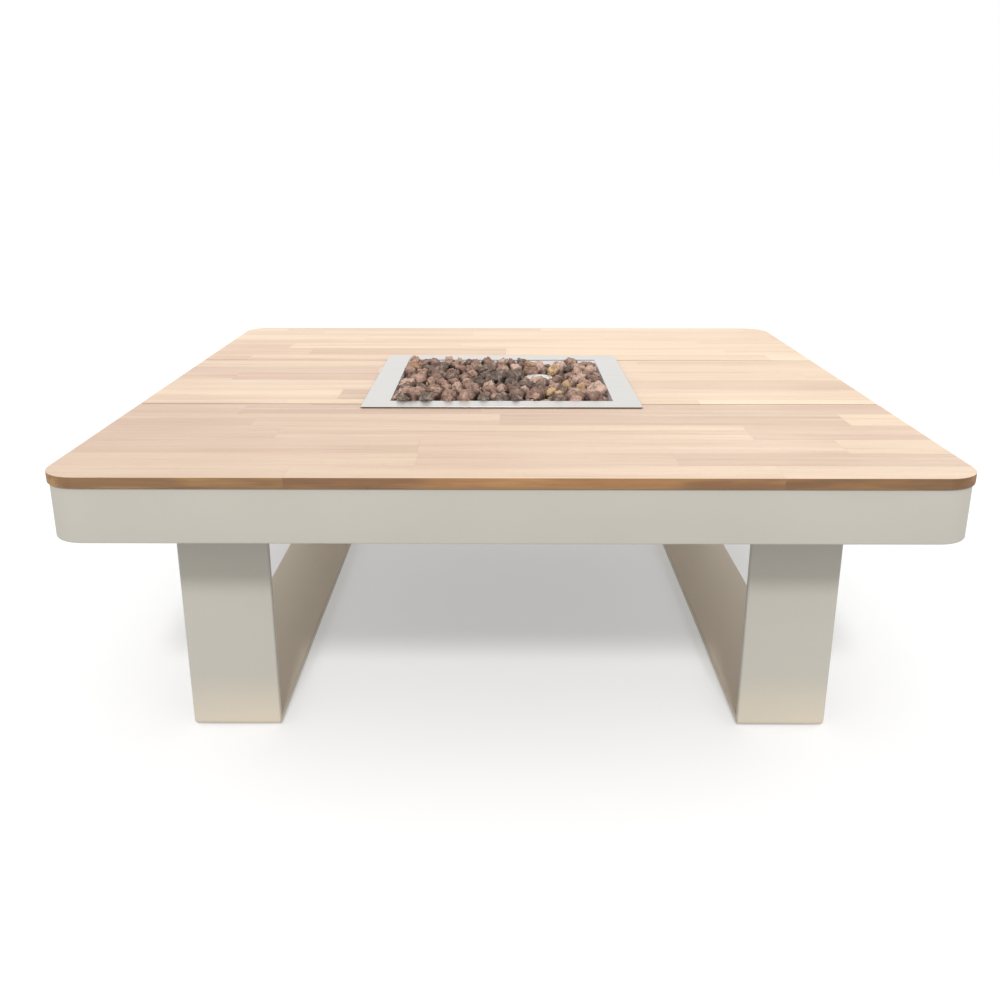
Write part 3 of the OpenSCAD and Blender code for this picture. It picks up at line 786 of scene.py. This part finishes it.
def bored(piece: bpy.types.Object, cutters: list[bpy.types.Object]) -> bpy.types.Object:
    """Cuts each cutter out of a piece, then throws the cutters away."""
    for cutter in cutters:
        cut = piece.modifiers.new("bore", "BOOLEAN")
        cut.object, cut.operation, cut.solver = cutter, "DIFFERENCE", "EXACT"
    shown = piece.evaluated_get(bpy.context.evaluated_depsgraph_get())
    mesh = bpy.data.meshes.new_from_object(shown)
    piece.modifiers.clear()
    piece.data = mesh
    mesh.set_sharp_from_angle(angle=math.radians(CREASE))
    for cutter in cutters:
        bpy.data.objects.remove(cutter)
    return piece


def fit(piece: bpy.types.Object, finish: Finish, body: str, slot: str, *nodes: str) -> None:
    """Dresses a new piece, lets it ride on its body and hides the CAD nodes it stands for."""
    piece.data.materials.clear()
    piece.data.materials.append(finish.material())
    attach(piece, body)
    if nodes:
        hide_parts(*nodes)
    LOG.info("%s: %d faces on %s", piece.name, len(piece.data.polygons), body)


def record_slot(node: str) -> str:
    """The record's material slot of a CAD node."""
    return next(row["material_slot"] for row in frame["record"]["subparts"] if row["node"] == node)


def machined(node: str, finish: Finish, ease: float) -> None:
    """Replaces a CAD node by a copy with its doubled points merged and its edges eased.

    Args:
        node: the CAD node.
        finish: its finish.
        ease: the width of the eased edge.
    """
    source = frame["nodes"][node]
    mesh = source.data.copy()
    tidy(mesh, 2e-6, flatten=0.5)
    piece = placed(f"{node}_finished", mesh, SHARP)
    edge = piece.modifiers.new("eased edges", "BEVEL")
    edge.width, edge.segments, edge.limit_method = ease, 2, "ANGLE"
    edge.angle_limit = math.radians(SHARP)
    edge.use_clamp_overlap = True
    fit(piece, finish, source["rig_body"], record_slot(node), node)


def spindle(node: str) -> tuple[Vector, Vector, Vector, float]:
    """A round node's lowest and highest corners, a point on its line along X, and its radius."""
    low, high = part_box(node)
    return low, high, Vector((0.0, (low.y + high.y) / 2, (low.z + high.z) / 2)), (high.z - low.z) / 2


def dressed(node: str, finish: Finish) -> None:
    """Gives a CAD node that stays as it is its finish."""
    source = frame["nodes"][node]
    source.data.materials.clear()
    source.data.materials.append(finish.material())
    LOG.info("%s: dressed as %s", node, type(finish).__name__)


# ---------------------------------------------------------------- the table


class Side(Enum):
    """Which side of the table a repeated part stands on."""

    LEFT = "left"
    RIGHT = "right"


@dataclass
class TimberTop:
    """Four boards of glued staves with eased rims and two rounded corners at each end."""

    corner: float = 0.050
    square: float = 0.003
    upper_edge: float = 0.0007
    lower_edge: float = 0.0010

    def build(self) -> None:
        """Builds the boards."""
        r, s = self.corner, self.square
        edges = (self.lower_edge, self.upper_edge)
        plans = {"front": (r, r, s, s), "back": (s, s, r, r), "left": (s, s, s, s), "right": (s, s, s, s)}
        for name, radii in plans.items():
            low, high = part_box(f"board_{name}")
            board = slab(f"board_{name}_staves", tuple(low), tuple(high), radii, edges)
            fit(board, TIMBER, "frame", "timber", f"board_{name}")


@dataclass
class Apron:
    """A welded ring of hollow section: one rounded profile carried round the table."""

    corner: float = 0.047
    edge: float = 0.0025
    stem_bore: float = 0.007
    igniter_bore: float = 0.0091
    corner_arc: int = 14
    drill_past: float = 0.010
    parts: tuple[str, ...] = ("apron_front", "apron_back", "apron_left", "apron_right",
                              "apron_corner_front_left", "apron_corner_front_right",
                              "apron_corner_back_left", "apron_corner_back_right")

    def build(self) -> None:
        """Builds the ring, with the two holes for the controls."""
        low = np.min([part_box(n)[0] for n in self.parts], axis=0)
        high = np.max([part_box(n)[1] for n in self.parts], axis=0)
        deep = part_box("apron_left")[1].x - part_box("apron_left")[0].x
        profile = rounded_outline((0.0, low[2]), (deep, high[2]), (self.edge,) * 4, 0.0, RIM_STEPS)
        plan = (low[:2], high[:2], (self.corner,) * 4)
        rings = [lifted(rounded_outline(*plan, inset, self.corner_arc), z) for inset, z in profile]
        points = np.stack(rings)
        ring = surface("apron_ring", points, grid_faces(*points.shape[:2], loop_rows=True))
        holes = (("control_knob", self.stem_bore), ("igniter_body", self.igniter_bore))
        ring = bored(ring, [self.drill(node, radius) for node, radius in holes])
        fit(ring, PEBBLE, "frame", "powder_coat", *self.parts)

    def drill(self, node: str, radius: float) -> bpy.types.Object:
        """A rod through the right apron, on a control's own line."""
        _, _, middle, _ = spindle(node)
        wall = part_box("apron_right")
        start, end = wall[0].x - self.drill_past, wall[1].x + self.drill_past
        profile = np.array([[start, 0.0], [start, radius], [end, radius], [end, 0.0]])
        return turned("drill", profile, middle, 40)


@dataclass
class LoopLeg:
    """A flat band bent into a loop: down, along the floor and up again."""

    side: Side
    outer_bend: float = 0.008
    inner_bend: float = 0.0025
    edge: float = 0.0028
    arc: int = 8

    def bend_line(self, y0: float, y1: float, z0: float, z1: float, radius: float) -> np.ndarray:
        """The loop's line in Y and Z: two quarter circles joined by three straights."""
        turn = np.linspace(0.0, math.pi / 2, self.arc)
        first = np.stack([y0 + radius * (1 - np.cos(turn)), z0 + radius * (1 - np.sin(turn))], -1)
        second = np.stack([y1 - radius * (1 - np.sin(turn)), z0 + radius * (1 - np.cos(turn))], -1)
        return np.concatenate([[[y0, z1]], first, second, [[y1, z1]]])

    def build(self) -> None:
        """Sweeps the band's rounded section between its outer and inner lines."""
        name = self.side.value
        post_low, post_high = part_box(f"leg_post_front_{name}")
        runner_low, runner_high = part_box(f"leg_runner_{name}")
        thick = runner_high.z - runner_low.z
        low_y, high_y, top = runner_low.y, runner_high.y, post_high.z
        outer = self.bend_line(low_y, high_y, runner_low.z, top, self.outer_bend)
        inner = self.bend_line(low_y + thick, high_y - thick, runner_high.z, top, self.inner_bend)
        corners = (self.edge,) * 4
        section = rounded_outline((0.0, post_low.x), (thick, post_high.x), corners, 0.0, RIM_STEPS)
        share = section[:, 0] / thick
        across = outer[:, None] * share[None, :, None] + inner[:, None] * (1 - share[None, :, None])
        width = np.broadcast_to(section[:, 1], across.shape[:2])
        points = np.concatenate([width[..., None], across], axis=-1)
        faces = closed_faces(*points.shape[:2])
        parts = [f"leg_post_front_{name}", f"leg_post_back_{name}", f"leg_runner_{name}"]
        fit(surface(f"leg_loop_{name}", points, faces), PEBBLE, "frame", "powder_coat", *parts)
        machined(f"leg_head_{name}", PEBBLE, 0.8 * MM)


@dataclass(frozen=True)
class Fittings:
    """CAD nodes that keep their shape: their edges are eased and they share one finish."""

    finish: Finish
    ease: float
    nodes: tuple[str, ...]

    def build(self) -> None:
        """Replaces each node by its eased copy."""
        for node in self.nodes:
            machined(node, self.finish, self.ease)


INNER_FRAME = (
    Fittings(RAIL_COAT, 0.6 * MM, (
        "leg_rail_left", "leg_rail_right", "burner_rail_left", "burner_rail_right",
        "burner_rail_front", "burner_rail_back", "board_rails", "board_clips",
    )),
    Fittings(SCREW, 0.35 * MM, ("leg_bolts", "leg_nuts", "board_screws", "housing_screws")),
    Fittings(GLIDE, 0.6 * MM, ("foot_glides",)),
)
BURNER = (
    Fittings(PAN_STEEL, 0.6 * MM, ("burner_pan",)),
    Fittings(HOOD_STEEL, 0.25 * MM, ("pilot_hood",)),
    Fittings(RUBBER, 0.2 * MM, ("flange_gasket",)),
    Fittings(ZINC, 0.3 * MM, ("burner_housing",)),
    Fittings(ZINC, 0.4 * MM, ("valve_bracket",)),
    Fittings(BURNT, 0.3 * MM, ("ring_burner", "mixer_tube")),
    Fittings(BRASS, 0.4 * MM, (
        "injector", "pipe_nuts", "burner_locknut", "gas_valve", "valve_cap", "valve_plug", "gas_inlet",
    )),
    Fittings(COPPER, 0.2 * MM, ("gas_pipe",)),
    Fittings(RUBBER, 0.3 * MM, ("grommets",)),
    Fittings(CLAY, 0.2 * MM, ("igniter_electrode",)),
)
PANEL = (
    Fittings(PLATE_STEEL, 0.3 * MM, ("control_plate",)),
    Fittings(SCREW, 0.3 * MM, ("control_screws",)),
    Fittings(BODY_BLACK, 0.5 * MM, ("igniter_body",)),
)


@dataclass
class Controls:
    """The knob with its stem and spring, and the igniter's button, on the right apron."""

    flutes: int = 18
    grip_sides: int = 180
    grip_deep: float = 0.011
    stem: float = 0.003
    collar: float = 0.0055
    coil_radius: float = 0.0045
    coil_wire: float = 0.0006
    coil_turns: float = 5.0

    def build(self) -> None:
        """Builds the knob, its stem, its spring and the button."""
        self.grip()
        self.shaft()
        self.spring()
        self.button()

    def grip(self) -> None:
        """Turns the knob: a skirt and a tapered grip with shallow flutes, cut by a rippled radius."""
        _, high, centre, radius = spindle("control_knob")
        front, back = high.x, high.x - self.grip_deep
        profile = np.array([
            [back, 0.0], [back, radius - 0.0006], [back + 0.0006, radius], [back + 0.0022, radius],
            [back + 0.0028, radius - 0.0008], [back + 0.008, radius - 0.0018],
            [front - 0.0012, radius - 0.0026], [front - 0.0004, radius - 0.0034],
            [front, radius - 0.0048], [front, 0.0],
        ])
        depth = np.array([0, 0, 0, 0, 0.05, 0.07, 0.06, 0.03, 0, 0])
        angle = np.arange(self.grip_sides) * (2 * math.pi / self.grip_sides)
        groove = 0.5 - 0.5 * np.cos(self.flutes * angle)
        ripple = 1.0 - depth[:, None] * groove[None, :] ** 2
        knob = turned("knob_grip", profile, centre, self.grip_sides, ripple)
        fit(knob, KnobPlastic((front, centre.y, centre.z)), "knob", "knob_black", "control_knob")

    def shaft(self) -> None:
        """Turns the stem, with the collar that the spring bears on."""
        low, high, centre, _ = spindle("control_knob")
        end = high.x - self.grip_deep + 0.001
        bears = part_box("knob_spring")[1].x + 0.0005
        r, wide = self.stem, self.collar
        profile = np.array([
            [low.x, 0.0], [low.x, r - 0.0004], [low.x + 0.0004, r], [bears, r], [bears, wide],
            [bears + 0.003, wide], [bears + 0.003, r], [end, r], [end, 0.0],
        ])
        fit(turned("knob_stem", profile, centre, 40), BRASS, "knob", "brass")

    def spring(self) -> None:
        """Winds the return spring, and works out the share that the knob's travel would shorten it by, which
        nothing uses.
        """
        start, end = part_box("knob_spring")
        foot = spindle("control_knob")[2] + Vector((start.x, 0.0, 0.0))
        length = end.x - start.x
        wire = coil("knob_spring_wire", foot, length, self.coil_radius, self.coil_wire, self.coil_turns)
        fit(wire, SCREW, "frame", "fasteners", "knob_spring")
        travel = next(joint for joint in frame["joints"] if joint["name"] == "knob_push")["range_m"][1]
        1.0 - travel / length
        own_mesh(wire)

    def button(self) -> None:
        """Turns the igniter's dished button."""
        low, high, centre, radius = spindle("igniter_button")
        dish = np.linspace(1.0, 0.0, 7)
        face = np.c_[high.x - 0.0008 * (1 - dish ** 2), (radius - 0.0016) * dish]
        shoulder = [[high.x - 0.0013, radius], [high.x - 0.0004, radius - 0.0005]]
        rim = np.array([[low.x, 0.0], [low.x, radius], *shoulder])
        cap = turned("igniter_cap", np.concatenate([rim, face]), centre, 56)
        fit(cap, CHROME, "igniter_key", "button_chrome", "igniter_button")


# ---------------------------------------------------------------- the lava bed


@dataclass(frozen=True)
class Layer:
    """A square grid of balls: how many a side, how far apart, how loose and how high they start."""

    count: int
    pitch: float
    loose: float
    high: float


@dataclass
class LavaBed:
    """A loose heap of crushed lava on the lift-out grate.

    Balls settle until they touch at a share of their radii. A dip is a place, a reach and
    a height over the hood; hood_dip is placed from the hood. The crest runs along the back
    wall, apart from back_gap. A spot is a place, a reach and a colour number. All these
    places are from the pan's middle. Over_rim holds the places from the table's middle,
    the heights over the rim and the radii of two stones that lie on the flange.
    """

    seed: int = 31
    small: float = 0.0100
    large: float = 0.0222
    layers: tuple[Layer, ...] = (Layer(11, 0.0322, 0.005, 0.016), Layer(10, 0.0350, 0.010, 0.046))
    crest: tuple[float, float, float, int] = (-0.165, 0.055, 0.166, 9)
    crest_high: float = 0.072
    over_rim: tuple[tuple[float, float, float, float], ...] = (
        (-0.1745, -0.1720, 0.0, 0.0125), (-0.1375, -0.1730, -0.0015, 0.0146),
    )
    settle_steps: int = 400
    sink: float = 0.0006
    touch: float = 0.9
    wall_touch: float = 0.95
    floor_touch: float = 0.96
    give: float = 0.34
    pan_half: float = 0.182
    wall_clear: float = 0.0008
    mound: float = 0.0095
    hood_clear: float = 0.0262
    hood_dip: tuple[float, float, float, float] = (-0.002, -0.048, 0.044, -0.004)
    back_dip: tuple[float, float, float, float] = (0.099, 0.158, 0.034, -0.006)
    back_gap: tuple[float, float, float] = (0.099, 0.192, 0.010)
    divisions: int = 4
    facets: int = 12
    facet_reach: tuple[float, float] = (0.58, 0.94)
    ridges: tuple[tuple[float, float], ...] = ((2.6, 0.16), (6.5, 0.18), (14.0, 0.12))
    ridge_mean: float = 0.64
    pits: int = 26
    pit_width: tuple[float, float] = (0.08, 0.24)
    near_by: float = 0.052
    skin: float = 0.88
    shade: float = 0.0085
    plain_tint: tuple[float, float] = (0.06, 0.8)
    rise: float = 0.6
    spots: tuple[tuple[float, float, float, float], ...] = (
        (-0.015, -0.015, 0.042, 0.04), (0.015, 0.030, 0.030, 0.10), (-0.003, -0.160, 0.034, 0.08),
        (-0.035, 0.060, 0.026, 0.16), (0.147, -0.085, 0.018, 0.10), (-0.155, -0.080, 0.018, 0.14),
        (0.122, -0.058, 0.026, 0.97), (0.142, -0.090, 0.020, 0.93), (0.092, -0.130, 0.020, 1.0),
        (0.090, 0.082, 0.016, 0.99), (0.061, 0.120, 0.018, 0.90), (-0.160, 0.110, 0.018, 0.89),
        (0.112, 0.030, 0.014, 0.93),
    )
    rim_tints: tuple[float, float] = (0.12, 0.02)
    rng: np.random.Generator = field(init=False)

    def __post_init__(self) -> None:
        """Seeds the heap, and reads its room from the pan, the grate and the hood."""
        self.rng = np.random.default_rng(self.seed)
        pan_low, pan_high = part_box("burner_pan")
        self.middle = np.array([(pan_low.x + pan_high.x) / 2, (pan_low.y + pan_high.y) / 2])
        self.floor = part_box("lava_grate")[1].z + 0.0003
        self.half = self.pan_half - self.wall_clear
        self.rim = pan_high.z
        self.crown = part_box("lava_stones")[1].z - 0.0005
        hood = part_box("pilot_hood")
        self.hood = np.array([(hood[0].x + hood[1].x) / 2, (hood[0].y + hood[1].y) / 2])
        self.hood_top = hood[1].z

    def spread(self, layer: Layer) -> np.ndarray:
        """A layer's places, each moved a little at random."""
        count, loose = layer.count, layer.loose
        grid = np.stack(np.meshgrid(np.arange(count), np.arange(count)), -1).reshape(-1, 2)
        moved = (grid - (count - 1) / 2) * layer.pitch + self.rng.uniform(-loose, loose, grid.shape)
        return lifted(moved + self.middle, layer.high + self.floor)

    def heap(self) -> tuple[np.ndarray, np.ndarray]:
        """Lets balls sink on the grate until they lie against each other.

        Each step lowers every ball, then parts the pairs that overlap and keeps them
        inside the pan, above the grate, below the rim and off the hood.

        Returns:
            The balls' middles and radii.
        """
        first, last, back, count = self.crest
        crest = np.c_[np.linspace(first, last, count), np.full(count, back)] + self.middle
        loose = [self.spread(layer) for layer in self.layers]
        loose.append(lifted(crest, self.crest_high + self.floor))
        over_rim = np.array(self.over_rim)
        held = len(over_rim)
        c = np.concatenate([over_rim[:, :3] + [0.0, 0.0, self.rim], *loose])
        r = self.small + (self.large - self.small) * self.rng.beta(1.5, 2.0, len(c) - held)
        r = np.concatenate([over_rim[:, 3], r])
        gap = self.middle + np.array(self.back_gap[:2])
        for _ in range(self.settle_steps):
            c[held:, 2] -= self.sink
            for _ in range(3):
                apart = c[:, None] - c[None]
                far = np.linalg.norm(apart, axis=-1) + 1e-9
                over = np.clip((r[:, None] + r[None]) * self.touch - far, 0.0, None)
                np.fill_diagonal(over, 0.0)
                push = (apart / far[..., None] * over[..., None] * self.give).sum(1)
                c[held:] += push[held:]
                self.keep_off(c, r, self.hood, self.hood_clear, held)
                self.keep_off(c, r, gap, self.back_gap[2], held)
                self.hollow(c, r, held)
                inner = (self.half - r * self.wall_touch)[:, None]
                c[held:, :2] = (self.middle + np.clip(c[:, :2] - self.middle, -inner, inner))[held:]
                c[held:, 2] = np.maximum(c[held:, 2], self.floor + r[held:] * self.floor_touch)
        kept = c[:, 2] + r < self.crown + 0.001
        kept[:held] = True
        return c[kept], r[kept]

    def hollow(self, c: np.ndarray, r: np.ndarray, held: int) -> None:
        """Presses the balls down in front of the hood and in a dip at the back wall."""
        top = np.full(len(c), self.rim + self.mound)
        for start, (x, y, reach, over_hood) in ((self.hood, self.hood_dip), (self.middle, self.back_dip)):
            near = np.linalg.norm(c[:, :2] - (start + [x, y]), axis=1) < reach
            top = np.where(near, self.hood_top + over_hood, top)
        lowest = self.floor + r[held:] * self.touch
        c[held:, 2] = np.minimum(c[held:, 2], np.maximum(top[held:] - r[held:], lowest))

    def keep_off(self, c: np.ndarray, r: np.ndarray, post: np.ndarray, clear: float, held: int) -> None:
        """Pushes balls sideways off an upright post."""
        away = c[:, :2] - post
        far = np.linalg.norm(away, axis=1) + 1e-9
        need = np.clip(clear + r * self.wall_touch - far, 0.0, None)
        c[held:, :2] += (away / far[:, None] * need[:, None])[held:]

    def directions(self, count: int, shape: tuple[int, ...]) -> np.ndarray:
        """Random unit directions for count stones."""
        drawn = self.rng.normal(size=(count, *shape, 3))
        return drawn / np.linalg.norm(drawn, axis=-1, keepdims=True)

    def crag(self, ball: np.ndarray, count: int) -> tuple[np.ndarray, np.ndarray]:
        """Distances from the middle for every direction of every stone, and its pits.

        A stone is a ball cut by random planes, which gives blunt facets, then lumped by
        ridged waves of three sizes and pricked by round pits.

        Args:
            ball: unit directions.
            count: how many stones there are.

        Returns:
            Distance for each stone and direction, and how deep in a pit each one is.
        """
        rng = self.rng
        planes = self.directions(count, (self.facets,))
        reach = rng.uniform(*self.facet_reach, (count, self.facets, 1))
        facing = np.clip(planes @ ball.T, 1e-3, None)
        far = np.minimum(1.0, (reach / facing).min(1))
        for size, height in self.ridges:
            waves = rng.normal(size=(count, 5, 3)) * size
            phase = rng.uniform(0, 2 * math.pi, (count, 5, 1))
            ridge = np.abs(np.sin(waves @ ball.T + phase)).mean(1)
            far = far + height * (ridge - self.ridge_mean) * 2.0
        spots = self.directions(count, (self.pits,))
        width = rng.uniform(*self.pit_width, (count, self.pits, 1))
        near = np.exp(-((1 - spots @ ball.T) / (0.5 * width ** 2)) ** 2)
        return far - 0.13 * (near * width / 0.3).max(1), near.max(1)

    def build(self) -> None:
        """Builds the grate and the stones, in a left and a right half."""
        machined("lava_grate", BURNT, 0.4 * MM)
        self.centres, self.radii = centres, radii = self.heap()
        tint = self.tints(centres)
        left = centres[:, 0] < self.middle[0]
        for side, pick in ((Side.LEFT, left), (Side.RIGHT, ~left)):
            self.stones(f"lava_rock_{side.value}", centres[pick], radii[pick], tint[pick])

    def stones(self, name: str, centres: np.ndarray, radii: np.ndarray, tint: np.ndarray) -> None:
        """Makes a group of stones in one mesh that carries their tints, their pits and how near each point
        lies to another stone, which set the painted shade.

        Args:
            name: the piece's name.
            centres: the stones' middles.
            radii: their radii.
            tint: a colour number for each.
        """
        unit = bmesh.new()
        bmesh.ops.create_icosphere(unit, subdivisions=self.divisions, radius=1.0)
        ball = np.array([v.co for v in unit.verts])
        sides = np.array([[v.index for v in f.verts] for f in unit.faces])
        unit.free()
        count, each = len(centres), len(ball)
        far, pit = self.crag(ball, count)
        squash = self.rng.uniform([1.0, 0.8, 0.68], [1.2, 1.02, 0.92], (count, 3))
        turn, _ = np.linalg.qr(self.rng.normal(size=(count, 3, 3)))
        turn *= np.sign(np.linalg.det(turn))[:, None, None]
        local = ball[None] * far[..., None] * squash[:, None]
        local = np.einsum("nij,nkj->nki", turn, local) * radii[:, None, None]
        points = centres[:, None] + local
        points[..., 2] = np.clip(points[..., 2], self.floor, self.crown)
        points[..., :2] = self.inside(points)
        faces = (sides[None] + np.arange(count)[:, None, None] * each).reshape(-1, 3)
        mesh = bpy.data.meshes.new(name)
        mesh.from_pydata(points.reshape(-1, 3).tolist(), [], faces.tolist())
        carried = {"tint": np.repeat(tint, each), "pit": pit.ravel()}
        carried["crevice_shade"] = self.crevice_shade(points, centres)
        for key, values in carried.items():
            layer = mesh.attributes.new(key, "FLOAT", "POINT")
            layer.data.foreach_set("value", values.astype(np.float32))
        mesh.shade_smooth()
        fit(linked(name, mesh), LAVA, "lava_bed", "lava", "lava_stones")

    def crevice_shade(self, points: np.ndarray, centres: np.ndarray) -> np.ndarray:
        """How near each point of each stone lies to another stone, which sets the painted shade between
        stones: 1 at its skin, 0 some way off.

        Args:
            points: every stone's points.
            centres: the stones' middles.

        Returns:
            One number a point, stone by stone.
        """
        near = np.zeros(points.shape[:2])
        for k, (own, middle) in enumerate(zip(points, centres)):
            apart = np.linalg.norm(self.centres - middle, axis=1)
            beside = (apart > 1e-6) & (apart < self.near_by)
            away = np.linalg.norm(own[:, None] - self.centres[beside], axis=-1)
            gap = away - self.skin * self.radii[beside]
            near[k] = np.clip(1.0 - gap.min(axis=1) / self.shade, 0.0, 1.0)
        return near.ravel()

    def inside(self, points: np.ndarray) -> np.ndarray:
        """Keeps what lies below the rim within the pan's walls."""
        flat = np.clip(points[..., :2] - self.middle, -self.half, self.half) + self.middle
        return np.where((points[..., 2] < self.rim + 0.0004)[..., None], flat, points[..., :2])

    def tints(self, centres: np.ndarray) -> np.ndarray:
        """One colour number a stone: brown to mauve, with a few dark and a few ochre spots."""
        least, span = self.plain_tint
        tint = least + span * self.rng.beta(1.15, 1.15, len(centres))
        flat = centres[:, :2] - self.middle
        for x, y, reach, number in self.spots:
            far = np.linalg.norm(flat - [x, y], axis=1) - self.rise * centres[:, 2]
            tint = np.where(far < reach - self.rise * self.rim, number, tint)
        tint[:len(self.over_rim)] = self.rim_tints
        return tint


# ---------------------------------------------------------------- the studio


@dataclass
class Studio:
    """A white floor and sky, one soft key light and the camera."""

    lens: float = 37.16
    place: tuple[float, float, float] = (-0.0110, -1.8335, 0.8139)
    pitch: float = math.radians(18.340)
    yaw: float = math.radians(-0.120)
    roll: float = math.radians(0.060)
    sky: float = 1.0
    floor_reach: float = 60.0
    floor_tone: float = 0.6
    floor_glow: float = 0.3
    key_power: float = 0.65 * math.pi
    key_height: float = math.radians(41.0)
    key_spread: float = math.radians(9.0)

    def camera(self) -> None:
        """Aims a level camera down by its pitch, then turns it by its yaw and roll."""
        camera = linked("camera", bpy.data.cameras.new("camera"))
        camera.data.lens = self.lens
        flat = math.cos(self.pitch)
        ahead = Vector((math.sin(self.yaw) * flat, math.cos(self.yaw) * flat, -math.sin(self.pitch)))
        level = Vector((math.cos(self.yaw), -math.sin(self.yaw), 0.0))
        upright = level.cross(ahead)
        across = level * math.cos(self.roll) + upright * math.sin(self.roll)
        above = upright * math.cos(self.roll) - level * math.sin(self.roll)
        turn = Matrix((across, above, -ahead)).transposed().to_4x4()
        camera.matrix_world = Matrix.Translation(self.place) @ turn
        bpy.context.scene.camera = camera

    def floor(self) -> None:
        """Lays a white floor that runs out of sight."""
        reach = self.floor_reach
        mesh = bpy.data.meshes.new("studio_floor")
        corners = [(-reach, -reach, 0), (reach, -reach, 0), (reach, reach, 0), (-reach, reach, 0)]
        mesh.from_pydata(corners, [], [(0, 1, 2, 3)])
        shader = Shader("studio_white")
        shader.set("Base Color", (self.floor_tone,) * 3)
        shader.set("Emission Color", (1.0, 1.0, 1.0))
        shader.set("Emission Strength", self.floor_glow)
        shader.set("Roughness", 0.9)
        shader.set("Specular IOR Level", 0.0)
        mesh.materials.append(shader.material)
        linked("studio_floor", mesh)

    def key(self) -> None:
        """Hangs a far soft light in front of the table, so high that the apron shades the posts."""
        data = bpy.data.lights.new("key", "SUN")
        data.energy, data.angle = self.key_power, self.key_spread
        light = linked("key", data)
        falls = Vector((0.0, math.cos(self.key_height), -math.sin(self.key_height)))
        light.rotation_mode = "QUATERNION"
        light.rotation_quaternion = falls.to_track_quat("-Z", "Y")

    def build(self) -> None:
        """Builds the whole studio."""
        self.camera()
        self.floor()
        world = bpy.data.worlds.new("studio_sky")
        world.use_nodes = True
        sky = world.node_tree.nodes["Background"].inputs
        sky["Color"].default_value = (1.0, 1.0, 1.0, 1.0)
        sky["Strength"].default_value = self.sky
        bpy.context.scene.world = world
        bpy.context.scene.view_settings.view_transform = "Standard"
        self.key()


def main() -> None:
    """Builds the studio and the table's sub-assemblies in order."""
    logging.basicConfig(level=logging.INFO, format="%(name)s %(message)s")
    Studio().build()
    TimberTop().build()
    Apron().build()
    for side in Side:
        LoopLeg(side).build()
    for group in INNER_FRAME + BURNER + PANEL:
        group.build()
    dressed("igniter_lead", SILICONE)
    dressed("thermocouple", COPPER)
    Controls().build()
    LavaBed().build()


if __name__ == "__main__":
    main()
